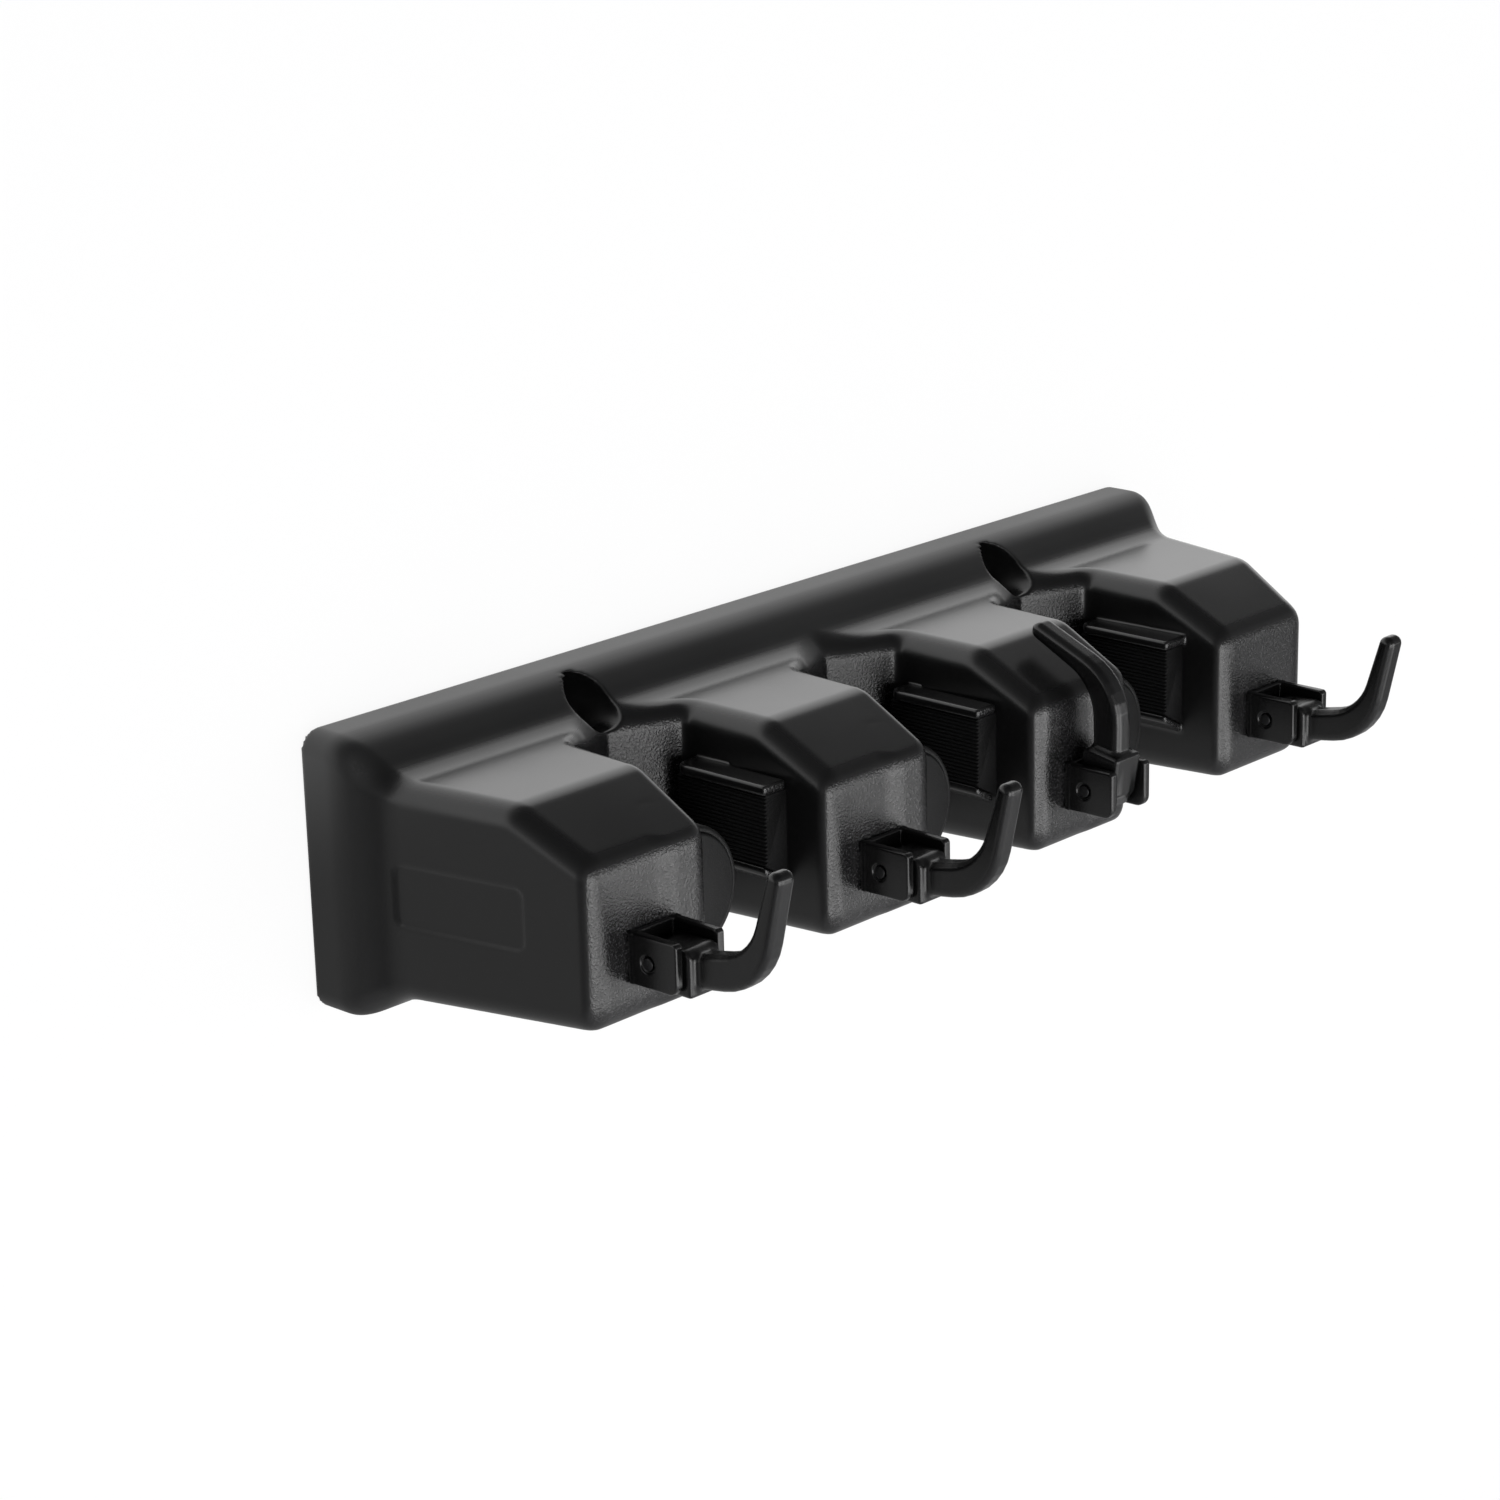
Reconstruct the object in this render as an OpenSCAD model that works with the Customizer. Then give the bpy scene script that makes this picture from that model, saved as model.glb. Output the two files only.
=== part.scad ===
// Wall mop holder rack: a moulded shell with three handle slots between four towers.
// Each slot has a falling roller on its left and a ridged rubber pad on its right,
// and each tower carries a hook that folds up on a pin.
// X runs along the rack, the wall is the plane y = 0, the front is -Y and Z is up.
// The origin is midway between the two wall screws, on the wall.
// Depths are measured from the wall towards the front. Heights are first drawn from
// the middle line of the base, and rack_frame() then moves the part to its origin.

/* [Rack] */
// Distance from slot to slot
slot_pitch = 71.5; // [64:0.5:90]
// Reach of the base past the middle of an end tower
end_reach = 31.8; // [29:0.1:45]
// Height of the base at the wall
base_h = 62.2; // [56:0.2:80]
// Depth of the straight rim at the wall
rim_d = 11; // [8:0.5:14]
// Depth over which the base slopes in to the towers
shoulder_d = 9; // [6:0.5:12]
// Corner radius of the base
base_r = 4; // [3:0.5:10]
// Wall thickness of the shell
wall = 2.6; // [2:0.1:3]

/* [Towers] */
// Depth of the tower fronts from the wall
tower_d = 71; // [60:0.5:85]
// Drop from the top of the base to the tower tops
top_drop = 8.6; // [7:0.1:11]
// Rise from the bottom of the base to the tower bottoms
bottom_rise = 5; // [4:0.1:8]
// Height of the sloped face at the top of a tower front
chamfer_h = 10.4; // [7:0.1:11]
// Depth of that sloped face
chamfer_d = 20.5; // [16:0.5:22]
// How much a tower's top falls from its root to its sloped face
draft_h = 0.8; // [0:0.1:1.5]
// How much a tower's bottom rises from its root to its front
bottom_draft_h = 1.9; // [0:0.1:3]
// Inset of the end walls at the shoulder
end_inset = 5.5; // [3:0.5:7]
// Radius of the tower front edges
edge_r = 5; // [2:0.5:6]
// Radius of the soft creases and shoulders
crease_r = 10; // [4:0.5:12]

/* [Bare plate] */
// Length of the bare plate sunk in the left end wall
tag_l = 32; // [20:0.5:34]
// Height of that plate
tag_h = 13.5; // [8:0.5:16]
// Depth to which it is sunk
tag_deep = 0.4; // [0.2:0.1:0.8]

/* [Slots] */
// Width of a handle slot at the tower fronts
slot_w = 37.5; // [32:0.5:44]
// Narrowing of the slot on each side, from front to back
slot_taper_w = 1.5; // [0.5:0.1:2.5]
// Depth of the slot's back at its middle
back_d = 22; // [19:0.5:26]
// How much further forward the slot's back is at its sides
back_rise = 7; // [4:0.5:8.5]

/* [Wall screws] */
// Thickness of the rim left over a screw's recess
recess_cover_t = 1; // [0.6:0.1:3]
// Radius of a wall screw's hole
screw_hole_r = 2.4; // [1.8:0.1:3]
// Radius of the recess for the screw's head
recess_r = 5.6; // [4.5:0.1:6]
// Thickness of the seat under the screw's head
seat_t = 3; // [2:0.1:5]
// Wall of the boss around the recess
boss_wall = 1.8; // [1.2:0.1:2.4]

/* [Rollers] */
// Outer radius of a roller
roller_r = 14.75; // [12:0.05:17]
// Clearance between the slot's back and the roller
roller_clear = 1.1; // [0.8:0.1:6]
// Depth from the tower front to the roller's flat front
roller_setback = 12.4; // [10:0.1:16]
// Reach of the roller's middle past the slot wall at rest
roller_out = 6.15; // [5:0.05:8]
// Drop of the roller's middle below the middle line at rest
roller_drop = 6.8; // [5.6:0.1:8]
// Lean of the track from the vertical
track_lean = 60; // [59:1:64]
// Thickness of the shell left over the raised roller
raised_skin_t = 1; // [0.8:0.1:5]
// Thickness of the rubber sleeve
sleeve_t = 1.5; // [1:0.1:2.5]
// Radius of the axle inside the roller
axle_r = 2.5; // [2:0.1:3]
// Running clearance of the roller on its axle
axle_fit = 0.06; // [0.02:0.01:0.1]
// Clearance between the slot's back wall and the track plate
plate_clear = 3.4; // [3:0.1:6]
// Thickness of the track plate
plate_t = 4; // [3:0.5:5]

/* [Grip pads] */
// Thickness of a pad from the slot wall to its ridges
pad_t = 7; // [5:0.1:8]
// Height of the ridged face
pad_h = 16.2; // [12:0.1:18]
// Clearance between the slot's back and the pad
pad_clear = 2.8; // [2.4:0.1:8]
// Depth from the tower front to the pad's front end
pad_setback = 13.2; // [11:0.1:18]
// Height of the pad's top above the middle line
pad_top = 8.7; // [6:0.1:9]
// Number of ridges on a pad
ridge_count = 18; // [8:1:24]
// Height of the ridges
ridge_h = 0.5; // [0.2:0.1:0.8]

/* [Hooks] */
// Height of the hook pins below the middle line
pin_drop = 9.6; // [8.5:0.1:11]
// Distance of a pin from the tower front
pin_out = 4.1; // [3.4:0.1:5]
// Radius of a pin
pin_r = 1.4; // [1:0.1:1.6]
// Running clearance of a hook on its pin
pin_fit = 0.08; // [0.02:0.01:0.1]
// Outer width of a bracket
bracket_w = 14.4; // [13:0.1:16]
// Height of a bracket
bracket_h = 11.2; // [10:0.1:13]
// Reach of a bracket from the tower front
bracket_out = 12.3; // [10:0.1:14]
// Thickness of the bracket's ears
ear_t = 2.2; // [1.6:0.1:2.8]
// Reach of a hook from its pin to the outside of its tip
hook_l = 33; // [28:0.5:40]
// Height of a hook's tip above its pin
hook_rise = 25; // [20:0.5:30]
// Height of a hook's shank
shank_h = 7.2; // [5:0.1:7.6]
// Thickness of a hook along its rising arm
arm_t = 5; // [4:0.1:6]
// Width of a hook
hook_w = 5.6; // [4:0.1:7]
// Clearance between a folded hook's tip and the sloped face of its tower
fold_clear = 3.41; // [1:0.01:8]

/* [Hidden] */
$fn = 48;
// Overrun of cuts past the faces that they open
over = 1;
// Segments of a rounded corner
arc_steps = 6;
// Clearance between pieces that move past each other
gap = 0.4;
// Clearance between pieces that are fixed together
fit = 0.1;

// Slots and towers along the rack
slots = 3;
towers = slots + 1;
tower_w = slot_pitch - slot_w;
end_x = slots / 2 * slot_pitch;
base_l = 2 * (end_x + end_reach);
root_d = rim_d + shoulder_d;
tower_top = base_h / 2 - top_drop;
tower_bottom = -base_h / 2 + bottom_rise;
crease_d = tower_d - chamfer_d;
crease_top = tower_top - draft_h * (crease_d - root_d) / (tower_d - root_d);
front_top = crease_top - chamfer_h;
side_d = back_d + back_rise;
slot_root_w = slot_w - 2 * slot_taper_w;
slot_corner_r = 3;

// Place of the bare plate, from the root of the tower and from the middle line
tag_back = 1;
tag_drop = 1.7;

// Wall screw bosses, which stand behind the first and the last slot
boss_r = recess_r + boss_wall;
screw_rise = base_h / 2 - recess_cover_t - recess_r;
screw_slots = [1, slots];

// Back ribs, from the middle of each slot
rib_x = 12;
rib_t = 1.6;
rib_recess = 1;

// Flat planes where the sections of the shell meet, each between a screw boss and a rib
meet_x = (boss_r + rib_x) / 2;

// Long screw post of a track plate, from the middle of its tower
post_r = 2.8;
post_clear = 0.6;
tower_post_x = tower_w / 2 - wall - post_r - post_clear;

// Roller and its track, from the middle of the slot
roller_front = tower_d - roller_setback;
roller_back = side_d + roller_clear;
roller_rest = [-slot_w / 2 + roller_out, -roller_drop];
room_d = roller_front + 2 * gap;
room_top = crease_top - chamfer_h * (room_d - crease_d) / chamfer_d;
raised_z = room_top - raised_skin_t - gap - roller_r;
lift_room = (raised_z + roller_drop) / cos(track_lean);
side_room = (roller_rest[0] - roller_r - gap + slot_pitch / 2 + tower_post_x - post_r) / sin(track_lean);
roller_travel = min(lift_room, side_room);

// Roller hub and sleeve
hub_r = roller_r - sleeve_t;
hub_flange_t = 1.5;
hub_flange_share = 0.7;
hub_flange_r = hub_r + hub_flange_share * sleeve_t;
hub_rim_t = 2;
hub_boss_t = 2.4;
hub_web_t = 2.6;
hub_ribs = 4;
hub_rib_t = 1.6;
hub_face = 0.6;
bore_r = axle_r + axle_fit;
hub_boss_r = bore_r + hub_boss_t;
sleeve_chamfer = 0.8;

// Snap bead in the hub and its groove in the axle
snap_w = 1.2;
snap_depth = 0.3;
snap_back = 4;
axle_front = roller_front - hub_web_t - gap;
snap_d = axle_front - snap_back;

// Axle behind the roller, its clip and the track plate
neck_step = 0.4;
neck_r = axle_r + neck_step;
shoe_r = 5.5;
shoe_t = 2;
clip_t = 1.6;
clip_groove = 0.6;
clip_r = neck_r - clip_groove;
clip_mouth_share = 1.5;
axle_tail = 1;
slide_gap = 0.25;
end_share = 0.96;
plate_d = back_d - wall - plate_clear;
plate_back = plate_d - plate_t;
plate_margin = 4;
plate_r = 3;

// Screw posts of a track plate, as x and z: two behind the slot's back, from its middle,
// and a long one left of the middle of the tower
back_post_x = 4.5;
back_post_z = 7.5;
back_post_low_z = 14.5;
tower_post_z = 6;
plate_posts = [
    [-back_post_x, back_post_z],
    [-back_post_x, -back_post_low_z],
    [-slot_pitch / 2 - tower_post_x, tower_post_z]
];
post_fronts = [back_d, back_d, tower_d - wall / 2];
track_screw_r = 1.2;
track_screw_l = 5.5;
track_head_r = 2.4;
track_head_t = 1.5;

// Grip pad and the mouldings that hold it
pad_front = tower_d - pad_setback;
pad_back = side_d + pad_clear;
pad_l = pad_front - pad_back;
pad_x = wall_x(pad_front) - pad_t;
pad_bottom = pad_top - pad_h;
pad_slant = 4;
ridge_pitch = pad_h / ridge_count;
shelf_t = 2.3;
shelf_lip = 0.8;
shelf_r = 3;
ledge_t = 2;
stud_r = 2.2;
stud_head_r = 3.1;
stud_head_t = 1.4;
stud_gap = 0.25;
stud_root_share = 0.5;
stud_shares = [0.22, 0.78];

// Hook bracket
bracket_lift = 0.3;
bracket_z = -pin_drop + bracket_lift;
pocket_t = 1.2;
prong_h = 7;
prong_l = 3.2;
barb = 0.8;
barb_l = 2.2;
ear_r = 2.5;
ear_top_r = 1;
pin_d = tower_d + pin_out;

// Hook, as forward reach and height from its pin
knuckle_r = pin_out - gap;
knuckle_w = bracket_w - 2 * ear_t - 2 * gap;
heel_gap = 0.15;
heel_drop = 4.6;
block_l = 9.5;
block_rise = 4.2;
block_r = 1.6;
shank_drop = 6.2;
arm_foot_share = 0.815;
arm_lean_share = 0.7;
bend_share = 0.076;
shank_top_share = 0.232;
bend_r = 16;
inner_bend_r = 12;
tip_w_share = 0.8;
tip_r_share = 0.48;
folded_hooks = [3];

// Finishes
black = [0.075, 0.075, 0.08];
gloss_black = [0.05, 0.05, 0.055];
rubber = [0.045, 0.045, 0.045];
steel = [0.66, 0.67, 0.69];

// Places along the rack
function slot_x(k) = (k - (slots + 1) / 2) * slot_pitch;
function tower_x(k) = (k - (towers + 1) / 2) * slot_pitch;

// Planes where the sections of the shell begin and end
function meet(k) =
    k == 0 ? -base_l / 2 - over :
    k == towers ? base_l / 2 + over :
    slot_x(k) + meet_x;

// Half width of a slot at a depth
function wall_x(d) = slot_w / 2 - slot_taper_w * (tower_d - d) / (tower_d - side_d);

// Points of an arc that rounds the corner p1 of an outline
function unit(v) = v / norm(v);
function corner(p0, p1, p2, r) =
    r == 0 ? [p1] :
    let (
        u = unit(p0 - p1),
        v = unit(p2 - p1),
        half = acos(u * v) / 2,
        c = p1 + unit(u + v) * r / sin(half),
        s = p1 + u * r / tan(half) - c,
        e = p1 + v * r / tan(half) - c,
        a = atan2(s[1], s[0]),
        turn = atan2(s[0] * e[1] - s[1] * e[0], s * e)
    )
    [for (i = [0:arc_steps]) c + r * [cos(a + turn * i / arc_steps), sin(a + turn * i / arc_steps)]];
function rounded(pts, radii) =
    let (n = len(pts))
    [for (i = [0:n - 1]) each corner(pts[(i + n - 1) % n], pts[i], pts[(i + 1) % n], radii[i])];

// An outline drawn counterclockwise, moved inwards by w
function normal(p, q) = unit([p[1] - q[1], q[0] - p[0]]);
function inset(pts, w) =
    let (n = len(pts))
    [for (i = [0:n - 1])
        let (
            a = normal(pts[(i + n - 1) % n], pts[i]),
            b = normal(pts[i], pts[(i + 1) % n])
        )
        pts[i] + w * (a + b) / (1 + a * b)];

// Side view of the shell, as depth and height, from the depth b
function side_points(b) = [
    [b, -base_h / 2],
    [rim_d, -base_h / 2],
    [root_d, tower_bottom],
    [tower_d, tower_bottom + bottom_draft_h],
    [tower_d, front_top],
    [crease_d, crease_top],
    [root_d, tower_top],
    [rim_d, base_h / 2],
    [b, base_h / 2]
];
side_radii = [0, edge_r, crease_r, edge_r, edge_r, crease_r, crease_r, edge_r, 0];

// Plan of the shell, as x and depth, from the depth b
function plan_points(b) = concat(
    [
        [-base_l / 2, b],
        [base_l / 2, b],
        [base_l / 2, rim_d],
        [base_l / 2 - end_inset, root_d],
        [end_x + tower_w / 2, tower_d]
    ],
    [for (k = [slots:-1:1]) each [
        [slot_x(k) + slot_w / 2, tower_d],
        [slot_x(k) + slot_root_w / 2, side_d],
        [slot_x(k), back_d],
        [slot_x(k) - slot_root_w / 2, side_d],
        [slot_x(k) - slot_w / 2, tower_d]
    ]],
    [
        [-end_x - tower_w / 2, tower_d],
        [-base_l / 2 + end_inset, root_d],
        [-base_l / 2, rim_d]
    ]
);
plan_radii = concat(
    [0, 0, edge_r, crease_r, edge_r],
    [for (k = [1:slots]) each [edge_r, slot_corner_r, 0, slot_corner_r, edge_r]],
    [edge_r, crease_r, edge_r]
);

// Front view of the base, as x and height
base_points = [
    [-base_l / 2, -base_h / 2],
    [base_l / 2, -base_h / 2],
    [base_l / 2, base_h / 2],
    [-base_l / 2, base_h / 2]
];

// Moves the part from the middle line of the base to its origin
module rack_frame() {
    translate([0, 0, -screw_rise]) children();
}

// Draws a front view outline from depth d0 to depth d1
module through(d0, d1) {
    translate([0, -d0, 0]) rotate([90, 0, 0]) linear_extrude(d1 - d0) children();
}

// Draws a plan outline from height z0 to height z1
module level(z0, z1) {
    translate([0, 0, z0]) linear_extrude(z1 - z0) mirror([0, 1]) children();
}

// Draws a side view outline from x0 to x1
module across(x0, x1) {
    translate([x0, 0, 0]) rotate([90, 0, 90]) linear_extrude(x1 - x0) mirror([1, 0]) children();
}

// Box between two corners, given as x, depth and height
module block(a, b) {
    translate([a[0], -b[1], a[2]]) cube([b[0] - a[0], b[1] - a[1], b[2] - a[2]]);
}

// Round bar along the depth, at p = [x, z]
module rod(p, r, d0, d1) {
    translate([p[0], -d0, p[1]]) rotate([90, 0, 0]) cylinder(r = r, h = d1 - d0);
}

// Round bar along the rack, at the depth and height of p
module crossbar(p, r, x0, x1) {
    translate([x0, -p[0], p[1]]) rotate([0, 90, 0]) cylinder(r = r, h = x1 - x0);
}

// Slot of half width r along the roller's track, with round ends
module track(r, d0, d1) {
    outline = [[-r, -r], [r, -r], [r, roller_travel + r], [-r, roller_travel + r]];
    translate([roller_rest[0], 0, roller_rest[1]]) rotate([0, -track_lean, 0])
        through(d0, d1) polygon(rounded(outline, [for (p = outline) end_share * r]));
}

// The shell's form, inset by w, from the depth b
module shell_form(b, w) {
    reach = base_l / 2 + over;
    tall = base_h / 2 + over;
    radii = w == 0 ? 1 : 0;
    intersection() {
        across(-reach, reach) polygon(rounded(inset(side_points(b), w), radii * side_radii));
        level(-tall, tall) polygon(rounded(inset(plan_points(b), w), radii * plan_radii));
        through(b, tower_d + over)
            polygon(rounded(inset(base_points, w), [for (p = base_points) base_r - w]));
    }
}

// Screw bosses and ribs behind the slots, kept inside the shell's side view
module back_mouldings() {
    reach = base_l / 2;
    intersection() {
        across(-reach, reach) polygon(rounded(side_points(0), side_radii));
        union() {
            for (k = screw_slots)
                rod([slot_x(k), screw_rise], boss_r, 0, back_d - wall / 2);
            for (k = [1:slots])
                block(
                    [slot_x(k) + rib_x, rib_recess, -base_h / 2],
                    [slot_x(k) + rib_x + rib_t, back_d, base_h / 2]
                );
        }
    }
}

// Posts that carry the track plate of slot k
module plate_post_set(k) {
    for (i = [0:len(plate_posts) - 1])
        rod([slot_x(k), 0] + plate_posts[i], post_r, plate_d, post_fronts[i]);
}

// Shelf over the pad and ledge under it, on the right wall of slot k
module pad_mouldings(k) {
    root = wall_x(pad_back) + wall / 2;
    top = pad_top + fit;
    shelf_front = pad_front + shelf_lip;
    shelf = [
        [pad_x - shelf_lip, pad_back],
        [root, pad_back],
        [wall_x(shelf_front) + wall / 2, shelf_front],
        [pad_x - shelf_lip, shelf_front]
    ];
    fall = pad_slant / (wall_x(pad_front) - pad_x);
    low = pad_bottom - fit;
    ledge = [
        [pad_x, low],
        [pad_x, low - ledge_t],
        [root, low - ledge_t - fall * (root - pad_x)],
        [root, low - fall * (root - pad_x)]
    ];
    translate([slot_x(k), 0, 0]) {
        level(top, top + shelf_t) polygon(rounded(shelf, [shelf_r, 0, 0, fit]));
        through(pad_back, pad_front) polygon(ledge);
    }
}

// What is cut from the shell at slot k for its roller, plate screws and pad studs
module slot_cuts(k) {
    translate([slot_x(k), 0, 0]) {
        track(roller_r + gap, roller_back - 2 * gap, room_d);
        track(axle_r + 2 * gap, back_d - wall - over, roller_back);
        for (p = plate_posts)
            rod(p, track_screw_r + fit / 2, plate_d - over, plate_d + track_screw_l);
        for (s = stud_shares)
            crossbar([pad_back + s * pad_l, (pad_top + pad_bottom) / 2], stud_r + fit,
                pad_x + pad_t / 2, slot_w / 2 + wall + over);
    }
}

// Pocket and slots for the bracket on the front of tower k
module bracket_cuts(k) {
    half = bracket_w / 2 + fit;
    translate([tower_x(k), 0, bracket_z]) {
        block(
            [-half, tower_d - pocket_t, -bracket_h / 2 - fit],
            [half, tower_d + over, bracket_h / 2 + fit]
        );
        for (side = [0, 1]) mirror([side, 0, 0])
            block(
                [half - ear_t - 2 * fit, tower_d - wall - over, -prong_h / 2 - fit],
                [half, tower_d, prong_h / 2 + fit]
            );
    }
}

// Sunk plate on the left end wall
module tag_cut() {
    near = root_d + tag_back;
    difference() {
        block(
            [-base_l / 2 - over, near, -tag_drop - tag_h / 2],
            [-end_x, near + tag_l, -tag_drop + tag_h / 2]
        );
        shell_form(0, tag_deep);
    }
}

module shell() {
    difference() {
        union() {
            difference() {
                shell_form(0, 0);
                shell_form(-wall - over, wall);
            }
            back_mouldings();
            for (k = [1:slots]) {
                plate_post_set(k);
                pad_mouldings(k);
            }
        }
        for (k = screw_slots) {
            rod([slot_x(k), screw_rise], screw_hole_r, -over, seat_t + over);
            rod([slot_x(k), screw_rise], recess_r, seat_t, side_d + over);
        }
        for (k = [1:slots]) slot_cuts(k);
        for (k = [1:towers]) bracket_cuts(k);
        tag_cut();
    }
}

// One section of the shell: a tower with the half slots beside it
module housing(k) {
    color(black) rack_frame() intersection() {
        shell();
        block(
            [meet(k - 1), -over, -base_h / 2 - over],
            [meet(k), tower_d + over, base_h / 2 + over]
        );
    }
}

module track_plate(k) {
    left = -slot_pitch / 2 - tower_post_x - plate_margin;
    right = -back_post_x + plate_margin;
    low = -back_post_low_z - plate_margin;
    high = back_post_z + plate_margin;
    outline = [[left, low], [right, low], [right, high], [left, high]];
    color(black) rack_frame() translate([slot_x(k), 0, 0]) difference() {
        through(plate_back, plate_d) polygon(rounded(outline, [for (p = outline) plate_r]));
        track(neck_r + slide_gap, plate_back - over, plate_d + over);
        for (p = plate_posts) rod(p, track_screw_r + fit, plate_back - over, plate_d + over);
    }
}

module track_screws() {
    color(steel) rack_frame() for (k = [1:slots], p = plate_posts)
        translate([slot_x(k), 0, 0]) {
            rod(p, track_head_r, plate_back - track_head_t, plate_back);
            rod(p, track_screw_r, plate_back, plate_d + track_screw_l - fit);
        }
}

module roller_axle(k) {
    clip_front = plate_back - slide_gap;
    clip_back = clip_front - clip_t;
    shoe_back = plate_d + slide_gap;
    shoe_front = shoe_back + shoe_t;
    snap_r = axle_r - snap_depth;
    color(steel) rack_frame() translate([slot_x(k), 0, 0]) {
        rod(roller_rest, neck_r, clip_back - axle_tail, clip_back);
        rod(roller_rest, clip_r, clip_back, clip_front);
        rod(roller_rest, neck_r, clip_front, shoe_back);
        rod(roller_rest, shoe_r, shoe_back, shoe_front);
        rod(roller_rest, axle_r, shoe_front, snap_d);
        rod(roller_rest, snap_r, snap_d, snap_d + snap_w);
        rod(roller_rest, axle_r, snap_d + snap_w, axle_front);
    }
}

module axle_clip(k) {
    front = plate_back - slide_gap - fit / 2;
    back = front - clip_t + fit;
    mouth = clip_mouth_share * clip_r / 2;
    color(steel) rack_frame() translate([slot_x(k), 0, 0]) difference() {
        rod(roller_rest, shoe_r, back, front);
        rod(roller_rest, clip_r + fit / 2, back - over, front + over);
        translate([roller_rest[0], 0, roller_rest[1]])
            block([-mouth, back - over, -shoe_r - over], [mouth, front + over, 0]);
    }
}

module roller_hub(k) {
    web_back = roller_front - hub_web_t;
    rim_in = hub_r - hub_rim_t;
    bead_r = axle_r - snap_depth + fit;
    color(gloss_black) rack_frame() translate([slot_x(k), 0, 0]) difference() {
        union() {
            difference() {
                union() {
                    rod(roller_rest, hub_r, roller_back, roller_front);
                    rod(roller_rest, hub_flange_r, roller_back, roller_back + hub_flange_t);
                }
                rod(roller_rest, rim_in, roller_back - over, web_back);
            }
            rod(roller_rest, hub_boss_r, roller_back, roller_front);
            for (i = [1:hub_ribs])
                translate([roller_rest[0], 0, roller_rest[1]]) rotate([0, i * 360 / hub_ribs, 0])
                    block(
                        [bore_r + hub_boss_t / 2, roller_back + hub_flange_t, -hub_rib_t / 2],
                        [rim_in + hub_rim_t / 2, roller_front - hub_web_t / 2, hub_rib_t / 2]
                    );
        }
        rod(roller_rest, bore_r, roller_back - over, snap_d + fit);
        rod(roller_rest, bead_r, snap_d, snap_d + snap_w);
        rod(roller_rest, bore_r, snap_d + snap_w - fit, web_back);
    }
}

module roller_sleeve(k) {
    inner = hub_r + fit / 2;
    back = roller_back + hub_flange_t;
    front = roller_front - hub_face;
    section = [
        [inner, back],
        [roller_r, back],
        [roller_r, front - sleeve_chamfer],
        [roller_r - sleeve_chamfer, front],
        [inner, front]
    ];
    color(rubber) rack_frame()
        translate([slot_x(k) + roller_rest[0], 0, roller_rest[1]])
        rotate([90, 0, 0]) rotate_extrude() polygon(section);
}

// Ridged face of a pad in front view, from the middle of the slot
function pad_section() = concat(
    [[slot_w / 2, pad_top], [pad_x + ridge_h, pad_top]],
    [for (i = [0:ridge_count - 1]) each [
        [pad_x, pad_top - (i + 1 / 2) * ridge_pitch],
        [pad_x + ridge_h, pad_top - (i + 1) * ridge_pitch]
    ]],
    [[slot_w / 2, pad_bottom - pad_slant * (slot_w / 2 - pad_x) / (wall_x(pad_front) - pad_x)]]
);

module grip_pad(k) {
    foot = [
        [pad_x - over, pad_back],
        [wall_x(pad_back), pad_back],
        [wall_x(pad_front), pad_front],
        [pad_x - over, pad_front]
    ];
    middle = (pad_top + pad_bottom) / 2;
    color(rubber) rack_frame() translate([slot_x(k), 0, 0]) {
        intersection() {
            through(pad_back, pad_front) polygon(pad_section());
            level(-base_h, base_h) polygon(foot);
        }
        for (s = stud_shares) {
            d = pad_back + s * pad_l;
            head = wall_x(d) + wall + stud_gap;
            crossbar([d, middle], stud_r, pad_x + stud_root_share * pad_t, head + stud_head_t);
            crossbar([d, middle], stud_head_r, head, head + stud_head_t);
        }
    }
}

module hook_bracket(k) {
    half = bracket_w / 2;
    low = bracket_z - bracket_h / 2;
    high = bracket_z + bracket_h / 2;
    front = tower_d + bracket_out;
    inside = tower_d - wall - fit;
    ear = [[tower_d - pocket_t, low], [front, low], [front, high], [tower_d - pocket_t, high]];
    barb_plan = [[half, inside - barb_l], [half + barb, inside], [half, inside]];
    color(gloss_black) rack_frame() translate([tower_x(k), 0, 0]) difference() {
        union() {
            block([-half, tower_d - pocket_t, low], [half, tower_d, high]);
            for (side = [0, 1]) mirror([side, 0, 0]) {
                across(half - ear_t, half) polygon(rounded(ear, [0, ear_r, ear_top_r, 0]));
                block(
                    [half - ear_t, inside - prong_l, bracket_z - prong_h / 2],
                    [half, tower_d - pocket_t, bracket_z + prong_h / 2]
                );
                level(bracket_z - prong_h / 2, bracket_z + prong_h / 2) polygon(barb_plan);
            }
        }
        crossbar([pin_d, -pin_drop], pin_r + fit / 2, -half - over, half + over);
    }
}

// Side view of a hook's shank and rising arm, from its pin
hook_points = [
    [0, -shank_drop],
    [arm_foot_share * hook_l, -bend_share * hook_rise],
    [hook_l, hook_rise],
    [hook_l - tip_w_share * arm_t, hook_rise],
    [arm_lean_share * hook_l, shank_top_share * hook_rise],
    [0, -shank_drop + shank_h]
];
tip_inner = hook_points[3];
slope = unit([chamfer_h, chamfer_d]);
slope_foot = [-pin_out, front_top + pin_drop];
tip_reach = acos((fold_clear + slope * slope_foot) / norm(tip_inner));
hook_fold = atan2(slope[1], slope[0]) - atan2(tip_inner[1], tip_inner[0]) + tip_reach;
tip_r = tip_r_share * tip_w_share * arm_t;
hook_radii = [0, bend_r, tip_r, tip_r, inner_bend_r, 0];

// Side view of the block between the ears, with the heel that stops the hook when open
block_points = [
    [-pin_out + heel_gap, -heel_drop],
    [0, -shank_drop],
    [block_l, -shank_drop],
    [block_l, block_rise],
    [0, knuckle_r],
    [-pin_out + heel_gap, 0]
];
block_radii = [0, 0, 0, block_r, 0, 0];

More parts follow.
